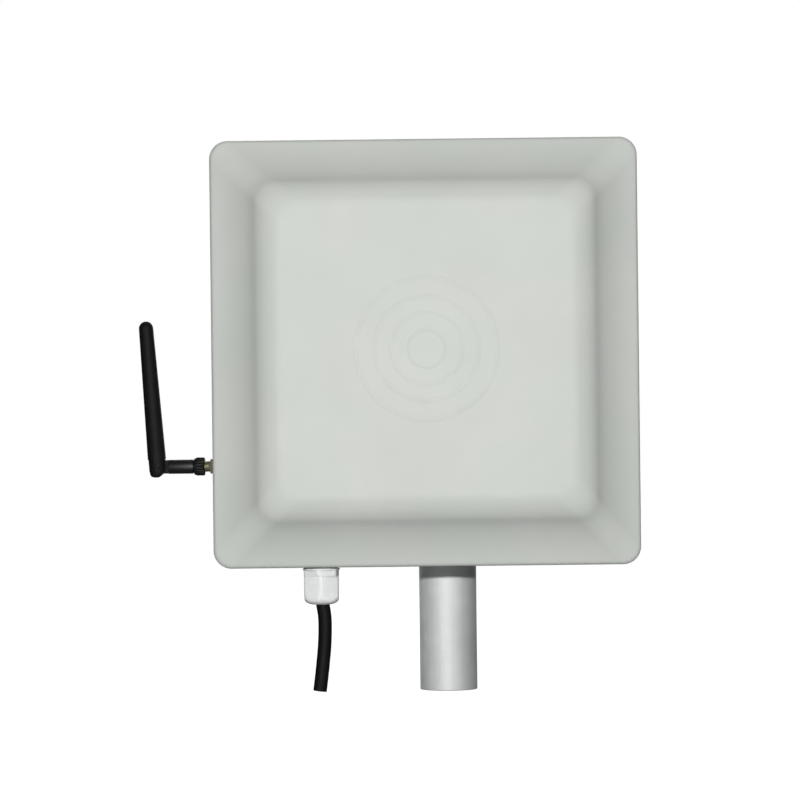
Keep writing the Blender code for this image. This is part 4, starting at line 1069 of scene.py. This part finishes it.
def build_collar():
    """The coupling collar, drawn in millimetres: knurled barrel, a plain band at the arm's end."""
    low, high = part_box("whip_collar")
    length = (high.x - low.x) / MM
    outer, bore, neck, ridges, count = 5.1, 3.47, 2.6, 22, 176
    taper = length - 1.1

    def knurl(depth):
        return lambda a: (outer - depth * (0.5 + 0.5 * cos(ridges * a)) ** 0.6) * MM

    def plain(radius):
        return lambda a: radius * MM

    rows = [(plain(bore), 0), (plain(outer - 0.7), 0), (knurl(0.4), 0.35), (knurl(0.35), taper - 0.3)]
    rows += [(plain(outer - 0.4), taper), (plain(outer - 0.45), length - 0.4), (plain(outer - 0.8), length)]
    rows += [(plain(neck), length), (plain(neck), length - 1.4), (plain(bore), length - 1.4)]
    bm = skin([round_loop(radius, height * MM, count) for radius, height in rows], ring=True)
    place = laid_along(Vector((high.x, WHIP_AXIS.y, WHIP_AXIS.z)))
    show(new_piece("coupling_collar", moved(bm, place), MATERIAL["collar"], 50), "whip_collar")


def build_arm():
    """The elbow arm, drawn along Z away from the panel: neck, barrel, and a flat tongue round the pin."""
    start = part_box("whip_arm")[1].x
    elbow = start - ELBOW.x
    collar_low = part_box("whip_collar")[0].x
    barrel = start - collar_low + GAP
    end = elbow - 6.2 * MM
    profile = [(0.1 * MM, 0), (2.9 * MM, 0), (2.9 * MM, 2 * MM), (2.2 * MM, 2 * MM), (2.2 * MM, barrel)]
    profile += [(3.6 * MM, barrel), (3.95 * MM, barrel + 0.35 * MM), (3.95 * MM, end - 0.25 * MM)]
    profile += [(3.85 * MM, end - 0.08 * MM), (3.6 * MM, end), (0.1 * MM, end)]
    arm = new_piece("elbow_arm", turned(profile, 48), MATERIAL["arm"])
    half_thick = 1.8 * MM
    outline = [(-3.7 * MM, end - 3 * MM), (3.7 * MM, end - 3 * MM)]
    outline += arc((0, elbow), 3.8 * MM, 0, pi, 24)
    flat = sheet(outline, [], 2 * half_thick, 0.3 * MM)
    # a plate drawn in (X, Z) whose thickness lies along Y
    carved(arm, moved(flat, at((0, half_thick, 0), pi / 2, "X")), "UNION", 30)
    carved(arm, rod_along(1, (0, 0, elbow), 1.35 * MM, -5 * MM, 5 * MM, 32))
    arm.data.materials.append(material_of("whip_arm"))
    for face in arm.data.polygons:
        if face.center.z > end:
            face.material_index = 1
    arm.data.transform(laid_along(Vector((start, WHIP_AXIS.y, WHIP_AXIS.z))))
    show(arm, "whip_arm")

    pin_low, pin_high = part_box("elbow_pin")
    half = (pin_high.y - pin_low.y) / 2
    pin = [(0.1 * MM, -half), (1.0 * MM, -half), (1.2 * MM, -half + 0.2 * MM), (1.2 * MM, half - 0.2 * MM),
           (1.0 * MM, half), (0.1 * MM, half)]
    bm = moved(turned(pin, 32), at(ELBOW, pi / 2, "X"))
    show(new_piece("hinge_pin", bm, material_of("whip")), "elbow_pin")


def build_whip():
    """The moulded whip: a forked foot, a slow taper and a round tip."""
    length, foot_radius, tip_radius = 81.4 * MM, 5.05 * MM, 4.0 * MM
    profile = mm((0.1, -6.0), (3.2, -5.75), (4.1, -5.3), (4.65, -4.5))
    profile += [(5.0 * MM, -2.3 * MM), (foot_radius, -1.0 * MM)]
    for step in range(13):
        share = step / 12
        radius = foot_radius + (tip_radius - foot_radius) * share
        profile.append((radius, 6 * MM + (length - tip_radius - 6 * MM) * share))
    profile += [(r, length - tip_radius + h) for r, h in arc((0, 0), tip_radius, 0, pi / 2, 10)][1:-1]
    profile.append((0.1 * MM, length))
    whip = new_piece("whip_rod", turned(profile, 64), material_of("whip"))
    half = 2.2 * MM
    slot = sheet(filleted(mm((-9, -9, 0), (9, -9, 0), (9, 4.2, 0), (-9, 4.2, 0))),
                 [], 2 * half, 0.02 * MM)
    slot = moved(slot, Matrix(((1, 0, 0, 0), (0, 0, 1, -half), (0, 1, 0, 0), (0, 0, 0, 1))))
    carved(whip, slot)
    # the foot is cut back under the arm, clear of its barrel when the whip folds
    heel = sheet(mm((-0.4, -6.2), (-0.4, -9), (9, -9), (9, 0.6)),
                 [], 18 * MM, 0.02 * MM)
    carved(whip, moved(heel, Matrix(((1, 0, 0, 0), (0, 0, 1, -9 * MM), (0, 1, 0, 0), (0, 0, 0, 1)))))
    carved(whip, rod_along(1, (0, 0, 0), 1.35 * MM, -6 * MM, 6 * MM, 32))
    rounded_edges(whip, 0.25 * MM, 2, 40)
    whip.data.transform(at(ELBOW, -WHIP_LEAN, "Y"))
    show(whip, "whip")


# ---------------------------------------------------------------- gland and cable


def build_gland():
    """The gland, drawn about Z in millimetres: a flanged hexagon body, and its cap nut over the thread."""
    seat = Vector((middle("gland_body").x, middle("gland_body").y, PANEL.z - PANEL_HALF - GAP))
    count, gap, bore = 96, 0.3, 4.1

    def plain(radius, height):
        return round_loop(lambda a: radius * MM, height * MM, count)

    def hexed(flats, height, limit, blend=0.25):
        def radius(a):
            return smooth_least(hex_radius(a, flats * MM), limit * MM, blend * MM)

        return round_loop(radius, height * MM, count)

    flats, drop, flange, corner = 18.3, 4.85, 10.3, 10.4
    thread, thread_end, pocket, seal_seat = 7.6, -14.3, 6.4, -6.3
    body = [
        plain(bore, 9.2), plain(7.2, 9.2), plain(thread, 8.8), plain(thread, 0.2),
        plain(9.4, 0), plain(9.4, -gap), plain(flange - 0.2, -gap), plain(flange, -0.5),
        plain(flange, -1.2), plain(flange - 0.3, -1.5), hexed(flats, -1.6, corner),
        hexed(flats, -drop + 0.3, corner), hexed(flats - 0.3, -drop, corner - 0.3),
        plain(thread, -drop), plain(thread, thread_end), plain(pocket, thread_end),
        plain(pocket, seal_seat), plain(bore, seal_seat),
    ]
    place = at(seat, radians(21.4))
    draw("gland_body", "gland_hex_body", moved(skin(body, ring=True), place), 50)

    start, end, across, corner = -drop - 0.05, -20.5, 19.2, 10.9
    crown_deep, crown_wide, mouth, thread = 5.6, 6.4, 5, 7.9
    cap = [plain(thread, start), hexed(across - 0.3, start, 10.5), hexed(across, start - 0.3, corner)]
    cap += [hexed(across, start - depth, corner) for depth in (3, 6)]
    for step in range(13):
        angle = pi / 2 * step / 12
        limit = corner - crown_wide + crown_wide * cos(angle)
        cap.append(hexed(across - 0.3 * step / 12, end + crown_deep - crown_deep * sin(angle), limit, 0.8))
    cap += [plain(mouth + 0.3, end), plain(mouth, end + 0.3), plain(mouth, -17.9)]
    cap += [plain(bore, -17.5), plain(bore, -16.7), plain(thread, -14.9)]
    place = at(seat, radians(30))
    draw("gland_nut", "gland_cap_nut", moved(skin(cap, ring=True), place), 50)


def build_cable():
    """The cable from the terminal block through the gland to its cut end."""
    gland = middle("gland_body")
    x, y, z = gland.x, gland.y, PANEL.z
    start = Vector((PANEL.x - 33 * MM, -88 * MM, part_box("cable")[1].z))
    path = [start, (PANEL.x - 35 * MM, -87.5 * MM, z - 54 * MM), (PANEL.x - 52 * MM, -85 * MM, z - 82 * MM)]
    path += [(PANEL.x - 58.2 * MM, -84.1 * MM, z - 97 * MM), (x, y, z - 104 * MM), (x, y, z - 108 * MM)]
    path += [(x, y, z - 132 * MM), (x, y, z - 135 * MM)]
    hang = mm((138.4, 0.6), (142.6, 1.3), (147, 1.7), (154, 1.7), (162.6, 1.25), (170, 0.5), (178, -0.4))
    path += [(x + sway, y, z - drop) for drop, sway in hang]
    path.append((x - 1.5 * MM, y, z - 186.6 * MM))
    bm = swept(eased_path(path, 10), lambda distance, angle: 3.8 * MM, 40)
    end = [face for face in bm.faces if len(face.verts) == 40]
    for face in end:
        bmesh.ops.inset_region(bm, faces=[face], thickness=0.9 * MM, depth=0)
        bmesh.ops.inset_region(bm, faces=[face], thickness=0.15 * MM, depth=-0.8 * MM)
    draw("cable", "cable_jacket", bm)


# ---------------------------------------------------------------- stage


FLOOR_HALF = 6.0
# The floor's faint glow to rays other than the camera's: painted light from below.
FLOOR_GLOW = 0.01
AMBIENT = 0.014
AMBIENT_TINT = (0.96, 1.0, 0.82, 1)


def area_light(name, place, target, size, power, colour=(1, 1, 1)):
    light = bpy.data.lights.new(name, "AREA")
    light.shape = "DISK"
    light.size = size
    light.energy = power
    light.color = colour
    obj = linked(name, light)
    obj.location = place
    obj.rotation_euler = (Vector(target) - Vector(place)).to_track_quat("-Z", "Y").to_euler()
    obj.visible_camera = False
    return obj


def build_stage():
    """A pale floor under the mast, white to the camera with a painted shadow near the mast and glowing faintly to
    other rays, a pale world, one key light by the camera and soft fills all round.
    """
    bm = bmesh.new()
    bmesh.ops.create_grid(bm, x_segments=1, y_segments=1, size=FLOOR_HALF)
    n = Nodes("pale_floor")
    tone = n.tones(n.ramp(n.noise(1 / 6), 0.3, 0.7), (0.1, 0.1, 0.1), 1.3, 1.6)
    # Seen by the camera the floor glows white, dimmed near the mast as a painted contact shadow; to other rays it
    # glows at FLOOR_GLOW, a faint painted light from below.
    away = n.add("VectorMath", {0: n.place}, operation="LENGTH").outputs["Value"]
    glow_with_painted_shadow = n.ramp(away, 0.15, 0.8, 0.95, 1.0)
    seen = n.add("LightPath").outputs["Is Camera Ray"]
    strength = n.maths("MAXIMUM", n.maths("MULTIPLY", glow_with_painted_shadow, seen), FLOOR_GLOW)
    n.set(Base_Color=tone, Roughness=0.9, Emission_Color=(1, 1, 1, 1), Emission_Strength=strength)
    floor = new_piece("floor", bm, n.material)

    world = bpy.data.worlds.new("studio")
    bpy.context.scene.world = world
    w = Nodes("studio", world, "Background")
    seen = w.add("LightPath").outputs["Is Camera Ray"]
    w.feed(w.shader.inputs["Strength"], w.ramp(seen, 0, 1, AMBIENT, 1.0))
    w.feed(w.shader.inputs["Color"], w.mixed(seen, AMBIENT_TINT, (1, 1, 1, 1)))


CAMERA_DISTANCE = 1.2
CAMERA_ROLL = radians(-0.66)
CAMERA_LEFT = 30 * MM
CAMERA_BELOW = 89 * MM
BRIM_Y = -100 * MM
AIM_LEFT = 14.1 * MM
AIM_BELOW = 25.8 * MM
SENSOR = 36.0
LENS = 98.2


def build_camera():
    """The camera faces the panel squarely from a little below and left of its middle; the lens is shifted."""
    camera = bpy.data.cameras.new("camera")
    camera.lens = LENS
    camera.sensor_width = SENSOR
    camera.clip_start = 0.01
    obj = linked("camera", camera)
    obj.location = (PANEL.x - CAMERA_LEFT, BRIM_Y - CAMERA_DISTANCE, PANEL.z - CAMERA_BELOW)
    turn = Vector((0, 1, 0)).to_track_quat("-Z", "Y").to_matrix().to_4x4()
    obj.rotation_euler = (turn @ Matrix.Rotation(CAMERA_ROLL, 4, "Z")).to_euler()
    bpy.context.view_layer.update()
    aim = obj.matrix_world.inverted() @ Vector((PANEL.x - AIM_LEFT, BRIM_Y, PANEL.z - AIM_BELOW))
    camera.shift_x = aim.x / -aim.z * LENS / SENSOR
    camera.shift_y = aim.y / -aim.z * LENS / SENSOR
    bpy.context.scene.camera = obj
    return obj


def build_lights(camera):
    """A small hard key beside the camera, a weak soft one above it, and soft lights behind and overhead."""
    aim = (PANEL.x, FRONT_Y, PANEL.z)
    key = (camera.location.x - 0.04, camera.location.y, PANEL.z + 0.006)
    area_light("key", key, aim, 0.03, 12.3)
    area_light("front_soft", (PANEL.x + 0.5, -0.95, 0.8), aim, 0.6, 1.3)
    area_light("back_left", (-0.7, 1.3, 0.8), aim, 0.7, 9.0)
    area_light("back_right", (0.6, 1.4, 0.6), aim, 0.7, 7.0)
    area_light("top", (0.1, 0.5, 1.5), aim, 0.9, 3.0)


# ---------------------------------------------------------------- build


def dress_hidden_nodes():
    """The pieces sealed in the housing keep their CAD shapes and get their own materials."""
    for node, obj in frame["nodes"].items():
        obj.data.materials.clear()
        obj.data.materials.append(material_of(node))


dress_hidden_nodes()
build_radome()
build_tray()
build_panel_screws()
build_bolts()
build_clamp_bracket()
build_reader_bracket()
build_saddles()
build_u_bolts()
build_mast()
build_jack()
build_collar()
build_arm()
build_whip()
build_gland()
build_cable()
build_stage()
build_lights(build_camera())
bpy.context.scene.view_settings.view_transform = "Standard"

bpy.context.view_layer.update()
